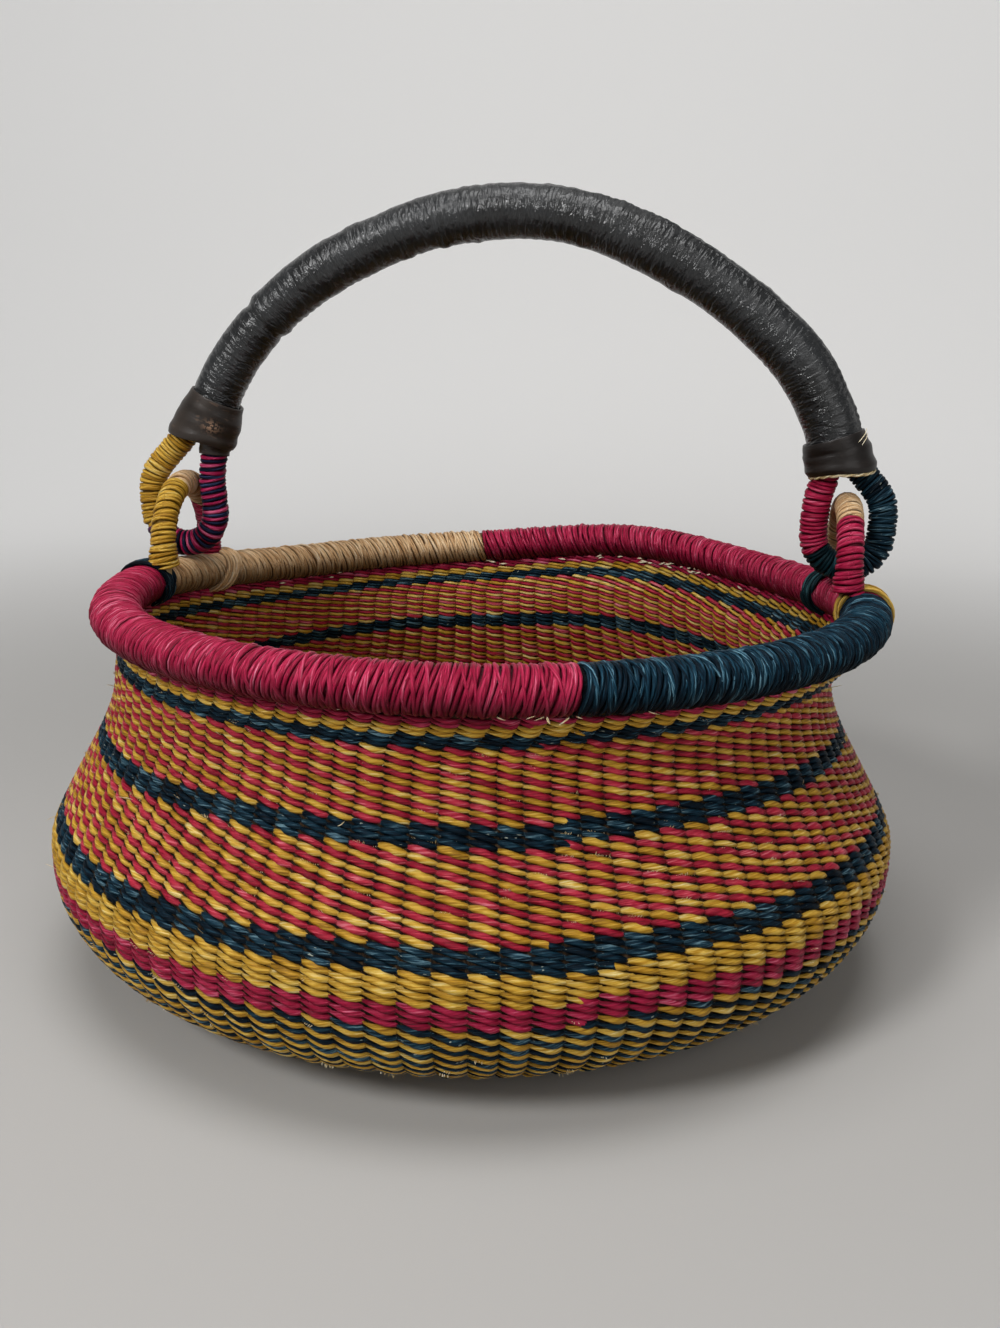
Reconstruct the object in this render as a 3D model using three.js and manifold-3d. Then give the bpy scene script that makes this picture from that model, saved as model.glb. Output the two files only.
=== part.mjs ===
// Round market basket twined from elephant grass, with a bail handle bound in goatskin.
// The basket stands on Z = 0 with its axis on Z. X runs along the handle, Z points up.
// The handle hangs by two eyes that are linked through two grass rings on the rim.
// All lengths are in millimetres.
import * as THREE from 'three';
import { mergeVertices } from 'three/addons/utils/BufferGeometryUtils.js';
import Module from 'manifold-3d';

const wasm = await Module();
wasm.setup();

// Driving dimensions of the woven body
const baseRadius = 100;
const startRadius = 38;
const bellyRadius = 200;
const bellyHeight = 64;
const neckRadius = 168;
const neckHeight = 140;
const mouthRadius = 173;
const mouthHeight = 158.6;
const wallThickness = 4.5;
const bandGap = 0.3;

// How high the bottom of the wall turns up before its flank begins
const turnTop = 22;

// Heights of the weft's colour bands, which are counted down from the mouth
const highMagentaDepth = 4;
const highYellowDepth = 3.4;
const highTealDepth = 4.4;
const highStripeDepth = 29;
const midTealDepth = 7.4;
const lowStripeDepth = 30.4;
const lowTealDepth = 8;
const lowYellowDepth = 10.6;
const lowMagentaDepth = 8.8;

// The rolled rim: a bundle of grass ends, whipped with four colours of straw
// It is an oval in section, and sits a little to the right of the body's middle.
// Its middle line stands over the outer face of the mouth.
const rimRadius = mouthRadius;
const rimShift = 8;
const rimCoreHalfWidth = 8.6;
const rimCoreHalfHeight = 7.1;
const rimWrapThickness = 1.8;
const rimSeatGap = 0.45;
const seatGap = 0.3;
const coreGap = 0.6;

// The rim isn't level. Each swell has the angle of its middle, its lift and half its spread.
const rimSwells = [
  { angle: 28, lift: -3.4, reachAngle: 42 },
  { angle: 70, lift: 3.6, reachAngle: 30 },
  { angle: 100, lift: -2, reachAngle: 30 },
  { angle: 138, lift: -7.4, reachAngle: 52 },
];

// Angles where one whipping of the rim ends, counted from +X towards +Y, in degrees
const rimRightJoinAngle = -1.5;
const rimBackJoinAngle = 101;
const rimLeftJoinAngle = 181.5;
const rimFrontJoinAngle = 289;

// Links: the handle's eyes and the rings on the rim. An inset is counted from the rim's
// radius inwards, and a lean is how far the grip's end stands inwards of its eye.
const linkSetback = 30;
const eyeCoreRadius = 4.3;
const eyeWrapThickness = 1.9;
const eyeShoulderShare = 0.95;
const eyeClearance = 0.4;
const ringCoreRadius = 3.9;
const ringWrapThickness = 1.8;
const links = {
  left: { side: -1, inset: 7, lean: 11, eyeHalfWidth: 16.5, eyeTopHalfWidth: 8, kneeRise: 34,
    ringInset: 8.2, ringSetback: 28, ringHalfWidth: 32, ringRise: 31.6, ringTurnAngle: -1.5 },
  right: { side: 1, inset: 6.8, lean: 5.2, eyeHalfWidth: 15.6, eyeTopHalfWidth: 7.3, kneeRise: 32,
    ringInset: 7.5, ringSetback: 29.5, ringHalfWidth: 30, ringRise: 29.6, ringTurnAngle: -0.8 },
};

// Lashings wound round the rim under the feet of the rings
const lashStrandRadius = 0.95;
const lashPitch = 2.7;
const lashTurns = 4;
const lashClearance = 0.6;
const footClearing = 38;

// The handle
const leftGripRadius = 8.7;
const middleGripRadius = 9.6;
const rightGripRadius = 10;
const sleeveThickness = 2.2;
const handleRise = 162.3;
const leftEndRise = 54.1;
const rightEndRise = 47.1;
const cuffThickness = 1.4;
const cuffGap = 0.6;
const cuffHeight = 21;
const eyeTuck = 9;
const tuckGap = 1.5;

// Fineness of the facets
const steps = { wall: 44, rim: 48, arch: 24, eye: 22, ring: 16, cuff: 4, clearing: 6, lashPerTurn: 20 };
const sides = { rim: 8, arch: 12, cuff: 16, clearing: 16, link: 8, lash: 6 };
const bendPoints = { ring: 10, eye: 8 };
const spans = { turn: 3, flank: 3, stripe: 3, line: 1 };
const weldDistance = 1e-5;

const highYellowTop = mouthHeight - highMagentaDepth;
const highTealTop = highYellowTop - highYellowDepth;
const highStripeTop = highTealTop - highTealDepth;
const midTealTop = highStripeTop - highStripeDepth;
const lowStripeTop = midTealTop - midTealDepth;
const lowTealTop = lowStripeTop - lowStripeDepth;
const lowYellowTop = lowTealTop - lowTealDepth;
const lowMagentaTop = lowYellowTop - lowYellowDepth;
const tealYellowTop = lowMagentaTop - lowMagentaDepth;
const rimHalfWidth = rimCoreHalfWidth + coreGap + rimWrapThickness;
const rimHalfHeight = rimCoreHalfHeight + coreGap + rimWrapThickness;
const rimHeight = mouthHeight + rimHalfHeight + rimSeatGap;
const rimTop = rimHeight + rimHalfHeight;
const eyeRadius = eyeCoreRadius + coreGap + eyeWrapThickness;
const ringWireRadius = ringCoreRadius + coreGap + ringWrapThickness;
const lashReach = lashClearance + lashStrandRadius;
const lashSlotLength = lashTurns * lashPitch + 2 * (lashStrandRadius + seatGap);
const tuckLength = eyeTuck + tuckGap;
const fullTurn = Math.PI * 2;
const radians = THREE.MathUtils.degToRad;
const lerp = THREE.MathUtils.lerp;

// How far the rim is lifted above its mean height at an angle in radians from +X
function rimLift(angle) {
  return rimSwells.reduce((sum, swell) => {
    const offset = THREE.MathUtils.euclideanModulo(angle - radians(swell.angle) + Math.PI, fullTurn);
    const share = Math.min(Math.abs(offset - Math.PI) / radians(swell.reachAngle), 1);
    return sum + swell.lift * (1 + Math.cos(Math.PI * share)) / 2;
  }, 0);
}

// The eyes stand on the rim, and turn about the middle of their lowest bends
const linkLift = Math.max(...[links.left, links.right].map(
  ({ side, inset }) => rimLift(Math.atan2(linkSetback, side * (rimRadius - inset))),
));
const pivotHeight = rimTop + linkLift + eyeRadius + eyeClearance;

const basket = new THREE.Group();

function material(color, roughness) {
  return new THREE.MeshStandardMaterial({ color, roughness, metalness: 0 });
}

function add(name, geometry, color, roughness = 0.8) {
  const mesh = new THREE.Mesh(geometry, material(color, roughness));
  mesh.name = name;
  basket.add(mesh);
  return mesh;
}

const straw = { magenta: 0xb01e4e, teal: 0x1f4a66, tan: 0xb08a55, yellow: 0xd9a938, red: 0xa81c3c,
  natural: 0xc9a24b, darkTeal: 0x16343d, purple: 0x5a2350 };
const hide = { black: 0x2a2a2c, brown: 0x2e2724 };

// Outer line of the woven wall, as radius and height, through the named sizes.
// Each share pair says how far the point lies from one named size to the next.
const flankShares = [[0.45, 0.11], [0.8, 0.33], [0.965, 0.65]];
const shoulderShares = [[0.125, 0.16], [0.53, 0.47], [0.77, 0.66], [0.94, 0.84]];
const throatShares = [[0.2, 0.4], [0.6, 0.75]];

function between([fromR, fromZ], [toR, toZ], shares) {
  return shares.map(([r, z]) => [lerp(fromR, toR, r), lerp(fromZ, toZ, z)]);
}

const foot = [baseRadius, 0];
const belly = [bellyRadius, bellyHeight];
const neck = [neckRadius, neckHeight];
const mouth = [mouthRadius, mouthHeight];
const wallLine = new THREE.SplineCurve([
  foot, ...between(foot, belly, flankShares),
  belly, ...between(belly, neck, shoulderShares),
  neck, ...between(neck, mouth, throatShares), mouth,
].map(([r, z]) => new THREE.Vector2(r, z)));

// Where the wall's outer line reaches a height, as a place along the line from 0 to 1
function placeAt(height) {
  let low = 0;
  let high = 1;
  for (let i = 0; i < 40; i += 1) {
    const middle = (low + high) / 2;
    if (wallLine.getPoint(middle).y < height) low = middle;
    else high = middle;
  }
  return (low + high) / 2;
}

function wallPoint(place, depth) {
  const point = wallLine.getPoint(place);
  const along = wallLine.getTangent(place);
  return new THREE.Vector2(point.x - along.y * depth, point.y + along.x * depth);
}

// The wall's top edge, hollowed to the underside of the rim, from the outside inwards
const seatShares = [0, 0.5, 1];

function rimSeat() {
  return seatShares.map((share) => {
    const radius = mouthRadius - share * wallThickness;
    const angle = Math.acos((radius - rimRadius) / (rimHalfWidth + rimSeatGap));
    return new THREE.Vector2(radius, rimHeight - Math.sin(angle) * (rimHalfHeight + rimSeatGap));
  });
}

// Above the belly the wall follows the swells of the rim. Above the neck it also drifts
// sideways until it is under the rim.
function drift(geometry) {
  const positions = geometry.getAttribute('position');
  for (let i = 0; i < positions.count; i += 1) {
    const [x, y, z] = [positions.getX(i), positions.getY(i), positions.getZ(i)];
    const lifted = THREE.MathUtils.smoothstep(z, bellyHeight, mouthHeight);
    const shifted = THREE.MathUtils.smoothstep(z, neckHeight, mouthHeight);
    positions.setXYZ(i, x + rimShift * shifted, y, z + rimLift(Math.atan2(y, x)) * lifted);
  }
  return geometry;
}

function revolve(outline) {
  const geometry = new THREE.LatheGeometry([...outline, outline[0]], steps.wall);
  return drift(geometry.rotateX(Math.PI / 2));
}

// One colour band of the wall: a closed ring between two heights, full wall thickness.
// The lashings of the rings pierce the top bands just under the rim.
function weftBand(name, from, to, count, color, pierced = false) {
  const line = wallLine.getLength();
  const start = placeAt(from) + (bandGap / 2) / line;
  const end = to === null ? 1 : placeAt(to) - (bandGap / 2) / line;
  const places = Array.from({ length: count + 1 }, (_, i) => lerp(start, end, i / count));
  const outer = places.map((place) => wallPoint(place, 0));
  const inner = places.map((place) => wallPoint(place, wallThickness)).reverse();
  const outline = to === null ? [...outer.slice(0, -1), ...rimSeat(), ...inner.slice(1)]
    : [...outer, ...inner];
  let ring = revolve(outline);
  if (pierced) {
    const slots = footAngles().map((angle) => rimClearing(angle, lashSlotLength));
    ring = toGeometry(slots.reduce((solid, slot) => solid.subtract(slot), toSolid(ring)));
  }
  add(name, ring, color);
}

function addWall() {
  const startEdge = startRadius - bandGap;
  add('base_start', revolve([
    new THREE.Vector2(0, 0), new THREE.Vector2(startEdge, 0),
    new THREE.Vector2(startEdge, wallThickness), new THREE.Vector2(0, wallThickness),
  ]), straw.natural);

  const floorEdge = baseRadius - bandGap;
  add('base_floor', revolve([
    new THREE.Vector2(startRadius, 0), new THREE.Vector2(floorEdge, 0),
    new THREE.Vector2(floorEdge, wallThickness), new THREE.Vector2(startRadius, wallThickness),
  ]), straw.natural);

  const end = placeAt(turnTop) - (bandGap / 2) / wallLine.getLength();
  const places = Array.from({ length: spans.turn + 1 }, (_, i) => lerp(0, end, i / spans.turn));
  const outer = places.map((place) => wallPoint(place, 0));
  const inner = places.slice(1).map((place) => wallPoint(place, wallThickness)).reverse();
  add('base_turn', revolve([
    ...outer, ...inner, new THREE.Vector2(baseRadius, wallThickness),
  ]), straw.teal);

  weftBand('base_flank', turnTop, tealYellowTop, spans.flank, straw.teal);
  weftBand('magenta_low_band', tealYellowTop, lowMagentaTop, spans.line, straw.magenta);
  weftBand('yellow_low_band', lowMagentaTop, lowYellowTop, spans.line, straw.yellow);
  weftBand('teal_low_band', lowYellowTop, lowTealTop, spans.line, straw.teal);
  weftBand('striped_low_band', lowTealTop, lowStripeTop, spans.stripe, straw.red);
  weftBand('teal_mid_band', lowStripeTop, midTealTop, spans.line, straw.teal);
  weftBand('striped_high_band', midTealTop, highStripeTop, spans.stripe, straw.red);
  weftBand('teal_high_band', highStripeTop, highTealTop, spans.line, straw.teal);
  weftBand('yellow_high_band', highTealTop, highYellowTop, spans.line, straw.yellow, true);
  weftBand('magenta_high_band', highYellowTop, null, spans.line, straw.magenta, true);
}

// A solid swept along a curve. The section is an oval whose half-width lies across the
// side axis and whose half-depth lies along it. With an inner oval it is an open pipe.
function sweep(curve, { from = 0, to = 1, count, around, axis, outer, inner = null, closed = false }) {
  const rings = closed ? count : count + 1;
  const positions = [];
  const index = [];
  const layers = inner ? [outer, inner] : [outer];
  for (const layer of layers) {
    for (let i = 0; i < rings; i += 1) {
      const place = lerp(from, to, i / count);
      const centre = curve.getPointAt(place);
      const along = curve.getTangentAt(place);
      const side = axis(place).clone();
      side.addScaledVector(along, -side.dot(along)).normalize();
      const across = new THREE.Vector3().crossVectors(side, along);
      const [width, depth] = layer(i / count);
      for (let j = 0; j < around; j += 1) {
        const angle = (j / around) * fullTurn;
        const point = centre.clone().addScaledVector(across, Math.cos(angle) * width);
        point.addScaledVector(side, Math.sin(angle) * depth);
        positions.push(point.x, point.y, point.z);
      }
    }
  }
  const vertex = (layer, i, j) => (layer * rings + (i % rings)) * around + (j % around);
  const quad = (a, b, c, d) => index.push(a, b, c, a, c, d);
  for (let layer = 0; layer < layers.length; layer += 1) {
    for (let i = 0; i < count; i += 1) {
      for (let j = 0; j < around; j += 1) {
        const a = vertex(layer, i, j);
        const b = vertex(layer, i, j + 1);
        const c = vertex(layer, i + 1, j + 1);
        const d = vertex(layer, i + 1, j);
        if (layer === 0) quad(a, b, c, d);
        else quad(a, d, c, b);
      }
    }
  }
  if (!closed && inner) {
    for (let j = 0; j < around; j += 1) {
      quad(vertex(0, 0, j + 1), vertex(0, 0, j), vertex(1, 0, j), vertex(1, 0, j + 1));
      quad(vertex(0, count, j), vertex(0, count, j + 1), vertex(1, count, j + 1), vertex(1, count, j));
    }
  }
  if (!closed && !inner) {
    for (let j = 1; j + 1 < around; j += 1) {
      index.push(vertex(0, 0, 0), vertex(0, 0, j + 1), vertex(0, 0, j));
      index.push(vertex(0, count, 0), vertex(0, count, j), vertex(0, count, j + 1));
    }
  }
  const geometry = new THREE.BufferGeometry();
  geometry.setAttribute('position', new THREE.Float32BufferAttribute(positions, 3));
  geometry.setIndex(index);
  return geometry;
}

function round(radius) {
  return () => [radius, radius];
}

// The rim's middle line, counted in turns from +X towards +Y
class RimLine extends THREE.Curve {
  getPoint(turn) {
    const angle = turn * fullTurn;
    const out = new THREE.Vector3(Math.cos(angle), Math.sin(angle), 0).multiplyScalar(rimRadius);
    out.z = rimLift(angle);
    return out.add(rimMiddle);
  }

  getPointAt(turn) {
    return this.getPoint(turn);
  }

  getTangentAt(turn) {
    return this.getPoint(turn + tinyTurn).sub(this.getPoint(turn - tinyTurn)).normalize();
  }
}

const tinyTurn = 1e-4;
const rimMiddle = new THREE.Vector3(rimShift, 0, rimHeight);
const up = () => new THREE.Vector3(0, 0, 1);
const rimLine = new RimLine();

function addRim() {
  add('rim_core', sweep(rimLine, {
    count: steps.rim, around: sides.rim, axis: up, closed: true,
    outer: () => [rimCoreHalfWidth, rimCoreHalfHeight],
  }), straw.natural);
  const joins = [rimRightJoinAngle, rimBackJoinAngle, rimLeftJoinAngle, rimFrontJoinAngle,
    rimRightJoinAngle + 360];
  const wraps = [['rim_magenta_back_wrap', straw.magenta], ['rim_tan_back_wrap', straw.tan],
    ['rim_magenta_front_wrap', straw.magenta], ['rim_teal_front_wrap', straw.teal]];
  const gapShare = seatGap / (rimRadius * fullTurn);
  wraps.forEach(([name, color], i) => {
    const from = joins[i] / 360 + gapShare / 2;
    const to = joins[i + 1] / 360 - gapShare / 2;
    add(name, sweep(rimLine, {
      from, to, count: Math.ceil((to - from) * steps.rim), around: sides.rim, axis: up,
      outer: () => [rimHalfWidth, rimHalfHeight],
      inner: () => [rimCoreHalfWidth + coreGap, rimCoreHalfHeight + coreGap],
    }), color);
  });
}

// A strand wound round the rim, centred on one angle
class LashLine extends THREE.Curve {
  constructor(angle) {
    super();
    this.middle = angle;
    this.spread = (lashTurns * lashPitch) / rimRadius;
  }

  angleAt(t) {
    return this.middle + (t - 0.5) * this.spread;
  }

  outward(t) {
    const angle = this.angleAt(t);
    return new THREE.Vector3(Math.cos(angle), Math.sin(angle), 0);
  }

  getPoint(t) {
    const turn = t * lashTurns * fullTurn;
    const reach = rimRadius - Math.cos(turn) * (rimHalfWidth + lashReach);
    const rise = rimLift(this.angleAt(t)) - Math.sin(turn) * (rimHalfHeight + lashReach);
    return this.outward(t).multiplyScalar(reach).add(rimMiddle).add(new THREE.Vector3(0, 0, rise));
  }

  runAt(t) {
    const angle = this.angleAt(t);
    return new THREE.Vector3(-Math.sin(angle), Math.cos(angle), 0);
  }
}

function addLashing(name, angle, color) {
  const line = new LashLine(angle);
  line.arcLengthDivisions = lashTurns * steps.lashPerTurn * 4;
  const count = lashTurns * steps.lashPerTurn;
  let closest = Infinity;
  const points = line.getSpacedPoints(count * 2);
  const oneTurn = points.length / lashTurns;
  points.forEach((point, i) => points.slice(i + Math.floor(oneTurn / 2)).forEach((other) => {
    closest = Math.min(closest, point.distanceTo(other));
  }));
  console.log(`${name}: least gap to itself ${(closest - lashStrandRadius * 2).toFixed(2)} mm`);
  add(name, sweep(line, {
    count, around: sides.lash, axis: (t) => line.runAt(t), outer: round(lashStrandRadius),
  }), color);
}

function toSolid(geometry) {
  const bare = new THREE.BufferGeometry();
  bare.setAttribute('position', geometry.getAttribute('position').clone());
  if (geometry.index) bare.setIndex(geometry.index.clone());
  const merged = mergeVertices(bare, weldDistance);
  return new wasm.Manifold(new wasm.Mesh({
    numProp: 3,
    vertProperties: new Float32Array(merged.getAttribute('position').array),
    triVerts: new Uint32Array(merged.index.array),
  }));
}

function toGeometry(solid) {
  const mesh = solid.getMesh();
  const geometry = new THREE.BufferGeometry();
  const points = new Float32Array(mesh.vertProperties);
  geometry.setAttribute('position', new THREE.BufferAttribute(points, 3));
  geometry.setIndex(new THREE.BufferAttribute(new Uint32Array(mesh.triVerts), 1));
  return geometry;
}

// One ring on the rim: an arch that stands over the rim, seen along the handle's axis.
// The side is -1 for the left ring and +1 for the right one.
function ringLine({ side, ringInset, ringSetback, ringHalfWidth, ringRise, ringTurnAngle }) {
  const turn = radians(ringTurnAngle) * side;
  const shinHeight = (rimHeight + pivotHeight) / 2;
  const points = [];
  const place = (reach, height) => points.push(new THREE.Vector3(
    rimShift + side * (rimRadius - ringInset) - reach * Math.sin(turn),
    ringSetback + reach * Math.cos(turn), height));
  place(-ringHalfWidth, rimHeight);
  place(-ringHalfWidth, shinHeight);
  for (let i = 0; i <= bendPoints.ring; i += 1) {
    const angle = Math.PI * (i / bendPoints.ring);
    place(-ringHalfWidth * Math.cos(angle), pivotHeight + ringRise * Math.sin(angle));
  }
  place(ringHalfWidth, shinHeight);
  place(ringHalfWidth, rimHeight);
  return new THREE.CatmullRomCurve3(points, false, 'centripetal');
}

// A short stretch of pipe round the rim that clears the lashings
function rimClearing(angle, length) {
  const half = length / 2 / (rimRadius * fullTurn);
  const clearing = lashReach + lashStrandRadius + seatGap;
  return toSolid(sweep(rimLine, {
    from: angle / fullTurn - half, to: angle / fullTurn + half,
    count: steps.clearing, around: sides.clearing, axis: up,
    outer: () => [rimHalfWidth + clearing, rimHalfHeight + clearing],
  }));
}

function rimAngleAt(line, place) {
  const point = line.getPointAt(place);
  return Math.atan2(point.y - rimMiddle.y, point.x - rimMiddle.x);
}

function addRing(label, sections) {
  const line = ringLine(links[label]);
  const axis = () => new THREE.Vector3(1, 0, 0);
  const feet = [0, 1].map((place) => rimAngleAt(line, place));
  const trim = (geometry) => {
    const clearings = feet.map((angle) => rimClearing(angle, footClearing));
    return toGeometry(clearings.reduce((solid, pipe) => solid.subtract(pipe), toSolid(geometry)));
  };
  add(`${label}_ring_core`, trim(sweep(line, {
    count: steps.ring, around: sides.link, axis, outer: round(ringCoreRadius),
  })), straw.natural);
  const gapShare = seatGap / line.getLength();
  let from = 0;
  for (const [name, share, color] of sections) {
    const start = from === 0 ? 0 : from + gapShare / 2;
    const end = share === 1 ? 1 : share - gapShare / 2;
    add(`${label}_ring_${name}_wrap`, trim(sweep(line, {
      from: start, to: end, count: Math.ceil((end - start) * steps.ring), around: sides.link, axis,
      outer: round(ringWireRadius), inner: round(ringCoreRadius + coreGap),
    })), color);
    from = share;
  }
}

// Where the four feet of the rings meet the rim: left front, left rear, right front, right rear
function footAngles() {
  return [links.left, links.right].flatMap((link) => [0, 1].map(
    (place) => rimAngleAt(ringLine(link), place),
  ));
}

// The handle's centre line lies in one upright plane. Shares are of each end's span
// from the middle, and of the rise of the handle's crown above the links.
const leftArchShares = [[0.896, 0.542], [0.765, 0.693], [0.601, 0.817], [0.42, 0.904], [0.22, 0.972]];
const crownShares = [[0.03, 1]];
const rightArchShares = [[0.235, 0.975], [0.408, 0.912], [0.572, 0.826], [0.726, 0.717],
  [0.862, 0.59], [0.95, 0.443]];

function archLine() {
  const [leftSpan, rightSpan] = [links.left, links.right].map(
    ({ inset, lean }) => rimRadius - inset - lean,
  );
  const points = [];
  const place = (x, rise) => points.push(
    new THREE.Vector3(rimShift + x, linkSetback, pivotHeight + rise));
  place(-leftSpan, leftEndRise);
  leftArchShares.forEach(([x, z]) => place(-leftSpan * x, handleRise * z));
  crownShares.forEach(([x, z]) => place(rightSpan * x, handleRise * z));
  rightArchShares.forEach(([x, z]) => place(rightSpan * x, handleRise * z));
  place(rightSpan, rightEndRise);
  return new THREE.CatmullRomCurve3(points, false, 'centripetal');
}

const across = () => new THREE.Vector3(0, 1, 0);

// The grip is thicker at its right end than at its left one. The share runs from left to right.
function gripRadius(share) {
  return share < 0.5 ? lerp(leftGripRadius, middleGripRadius, share * 2)
    : lerp(middleGripRadius, rightGripRadius, share * 2 - 1);
}

// Each eye is a bend round the pivot whose two legs run up into the cuff
function eyeLine({ side, inset, eyeHalfWidth, eyeTopHalfWidth, kneeRise }, end, inward) {
  const kneeHeight = pivotHeight + kneeRise;
  const points = [];
  const place = (x, z) => points.push(new THREE.Vector3(x, linkSetback, z));
  const spread = new THREE.Vector3().crossVectors(inward, across()).multiplyScalar(-side);
  const legTop = (sign, along) => {
    const point = end.clone().addScaledVector(inward, along);
    return point.addScaledVector(spread, sign * eyeTopHalfWidth);
  };
  const bendHeight = pivotHeight + eyeHalfWidth;
  const x = rimShift + side * (rimRadius - inset);
  points.push(legTop(1, eyeTuck), legTop(1, 0));
  place(x + side * eyeHalfWidth * eyeShoulderShare, kneeHeight);
  for (let i = 0; i <= bendPoints.eye; i += 1) {
    const angle = Math.PI * (i / bendPoints.eye);
    place(x + side * eyeHalfWidth * Math.cos(angle), bendHeight - eyeHalfWidth * Math.sin(angle));
  }
  place(x - side * eyeHalfWidth * eyeShoulderShare, kneeHeight);
  points.push(legTop(-1, 0), legTop(-1, eyeTuck));
  return new THREE.CatmullRomCurve3(points, false, 'centripetal');
}

function addEye(label, { tip, inward }, sections) {
  const line = eyeLine(links[label], tip, inward);
  add(`${label}_eye_core`, sweep(line, {
    count: steps.eye, around: sides.link, axis: across, outer: round(eyeCoreRadius),
  }), straw.natural);
  const gapShare = seatGap / line.getLength();
  let from = 0;
  for (const [name, share, color] of sections) {
    const start = from === 0 ? 0 : from + gapShare / 2;
    const stop = share === 1 ? 1 : share - gapShare / 2;
    add(`${label}_eye_${name}_wrap`, sweep(line, {
      from: start, to: stop, count: Math.ceil((stop - start) * steps.eye), around: sides.link,
      axis: across, outer: round(eyeRadius), inner: round(eyeCoreRadius + coreGap),
    }), color);
    from = share;
  }
}

// A straight stretch along the handle's end, from its tip towards the crown
class EndLine extends THREE.LineCurve3 {
  getTangentAt() {
    return new THREE.Vector3().subVectors(this.v2, this.v1).normalize();
  }
}

function addHandle() {
  const line = archLine();
  const ends = [
    { label: 'left', tip: line.getPointAt(0), inward: line.getTangentAt(0), grip: leftGripRadius },
    { label: 'right', tip: line.getPointAt(1), inward: line.getTangentAt(1).negate(),
      grip: rightGripRadius },
  ];
  // Core and sleeve stop above the legs of the eyes, which are tucked into the cuffs
  const tuckShare = tuckLength / line.getLength();
  const grip = (extra) => (share) => Array(2).fill(gripRadius(share) + extra);
  add('handle_core', sweep(line, {
    from: tuckShare, to: 1 - tuckShare, count: steps.arch, around: sides.arch, axis: across,
    outer: grip(0),
  }), straw.natural);
  add('leather_sleeve', sweep(line, {
    from: tuckShare, to: 1 - tuckShare, count: steps.arch, around: sides.arch, axis: across,
    outer: grip(coreGap + sleeveThickness), inner: grip(coreGap),
  }), hide.black, 0.45);

  for (const { label, tip, inward, grip: coreRadius } of ends) {
    const top = tip.clone().addScaledVector(inward, cuffHeight);
    const cuff = new EndLine(tip, top);
    // The mouth of the cuff is an oval round both legs, and narrows to the sleeve above them
    const neckWidth = coreRadius + coreGap + sleeveThickness + cuffGap;
    const mouthWidth = links[label].eyeTopHalfWidth + eyeRadius + cuffGap;
    const tucked = tuckLength / cuffHeight;
    const innerWidth = (t) => lerp(mouthWidth, neckWidth, THREE.MathUtils.smoothstep(t, tucked, 1));
    add(`${label}_cuff`, sweep(cuff, {
      count: steps.cuff, around: sides.cuff, axis: across,
      outer: (t) => [innerWidth(t) + cuffThickness, neckWidth + cuffThickness],
      inner: (t) => [innerWidth(t), neckWidth],
    }), hide.brown, 0.6);
  }

  addEye('left', ends[0], [
    ['yellow', 0.42, straw.yellow], ['purple', 0.5, straw.purple], ['candy', 1, straw.magenta],
  ]);
  addEye('right', ends[1], [
    ['teal', 0.5, straw.teal], ['dark_teal', 0.66, straw.darkTeal], ['magenta', 1, straw.magenta],
  ]);
}

addWall();
addRim();
addRing('left', [
  ['yellow', 0.42, straw.yellow], ['tan', 0.7, straw.tan], ['magenta', 1, straw.magenta],
]);
addRing('right', [
  ['magenta', 0.34, straw.magenta], ['tan', 1, straw.tan],
]);
const lashings = [['left_front_lashing', straw.teal], ['left_rear_lashing', straw.tan],
  ['right_front_lashing', straw.yellow], ['right_rear_lashing', straw.darkTeal]];
footAngles().forEach((angle, i) => addLashing(lashings[i][0], angle, lashings[i][1]));
addHandle();

export default basket;
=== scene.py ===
"""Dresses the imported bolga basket: twined straw wall, whipped rim, linked loops and leather grip.

Lengths are in millimetres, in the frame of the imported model: the basket stands on Z = 0, and X
runs along the handle. They turn into metres where a mesh is made.
"""

import logging
import math
from dataclasses import dataclass, field, replace
from enum import Enum

import bpy
import numpy as np
from mathutils import Matrix, Vector

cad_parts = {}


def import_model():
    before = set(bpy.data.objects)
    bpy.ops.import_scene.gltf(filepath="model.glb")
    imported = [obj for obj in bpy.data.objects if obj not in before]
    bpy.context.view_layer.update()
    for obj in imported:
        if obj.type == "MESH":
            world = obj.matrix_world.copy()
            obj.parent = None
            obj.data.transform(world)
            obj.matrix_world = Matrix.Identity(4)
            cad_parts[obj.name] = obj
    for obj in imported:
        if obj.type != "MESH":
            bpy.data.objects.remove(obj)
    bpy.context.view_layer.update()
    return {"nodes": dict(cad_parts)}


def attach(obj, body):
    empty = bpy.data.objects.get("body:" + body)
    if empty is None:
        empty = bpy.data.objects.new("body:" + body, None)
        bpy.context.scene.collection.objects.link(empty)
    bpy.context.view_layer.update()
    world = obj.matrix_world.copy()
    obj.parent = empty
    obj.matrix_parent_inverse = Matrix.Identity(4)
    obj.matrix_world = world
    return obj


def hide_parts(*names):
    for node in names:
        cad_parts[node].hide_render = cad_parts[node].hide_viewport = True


LOG = logging.getLogger("basket")
METRE = 0.001
TAU = 2.0 * math.pi

# The rim and the links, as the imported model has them
RIM_RADIUS = 173.0
RIM_SHIFT = 8.0
RIM_HEIGHT = 168.55
RIM_HALF_WIDTH = 11.0
RIM_HALF_HEIGHT = 9.5
# Each swell: the angle of its middle, its lift in mm and its reach to each side, in degrees
RIM_SWELLS = ((28.0, -3.4, 42.0), (70.0, 3.6, 30.0), (100.0, -2.0, 30.0), (138.0, -7.4, 52.0))
PIVOT_HEIGHT = 183.143
LINK_SETBACK = 30.0


class Body(Enum):
    """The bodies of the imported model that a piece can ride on."""

    BASKET = "basket"
    HANDLE = "handle"


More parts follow.
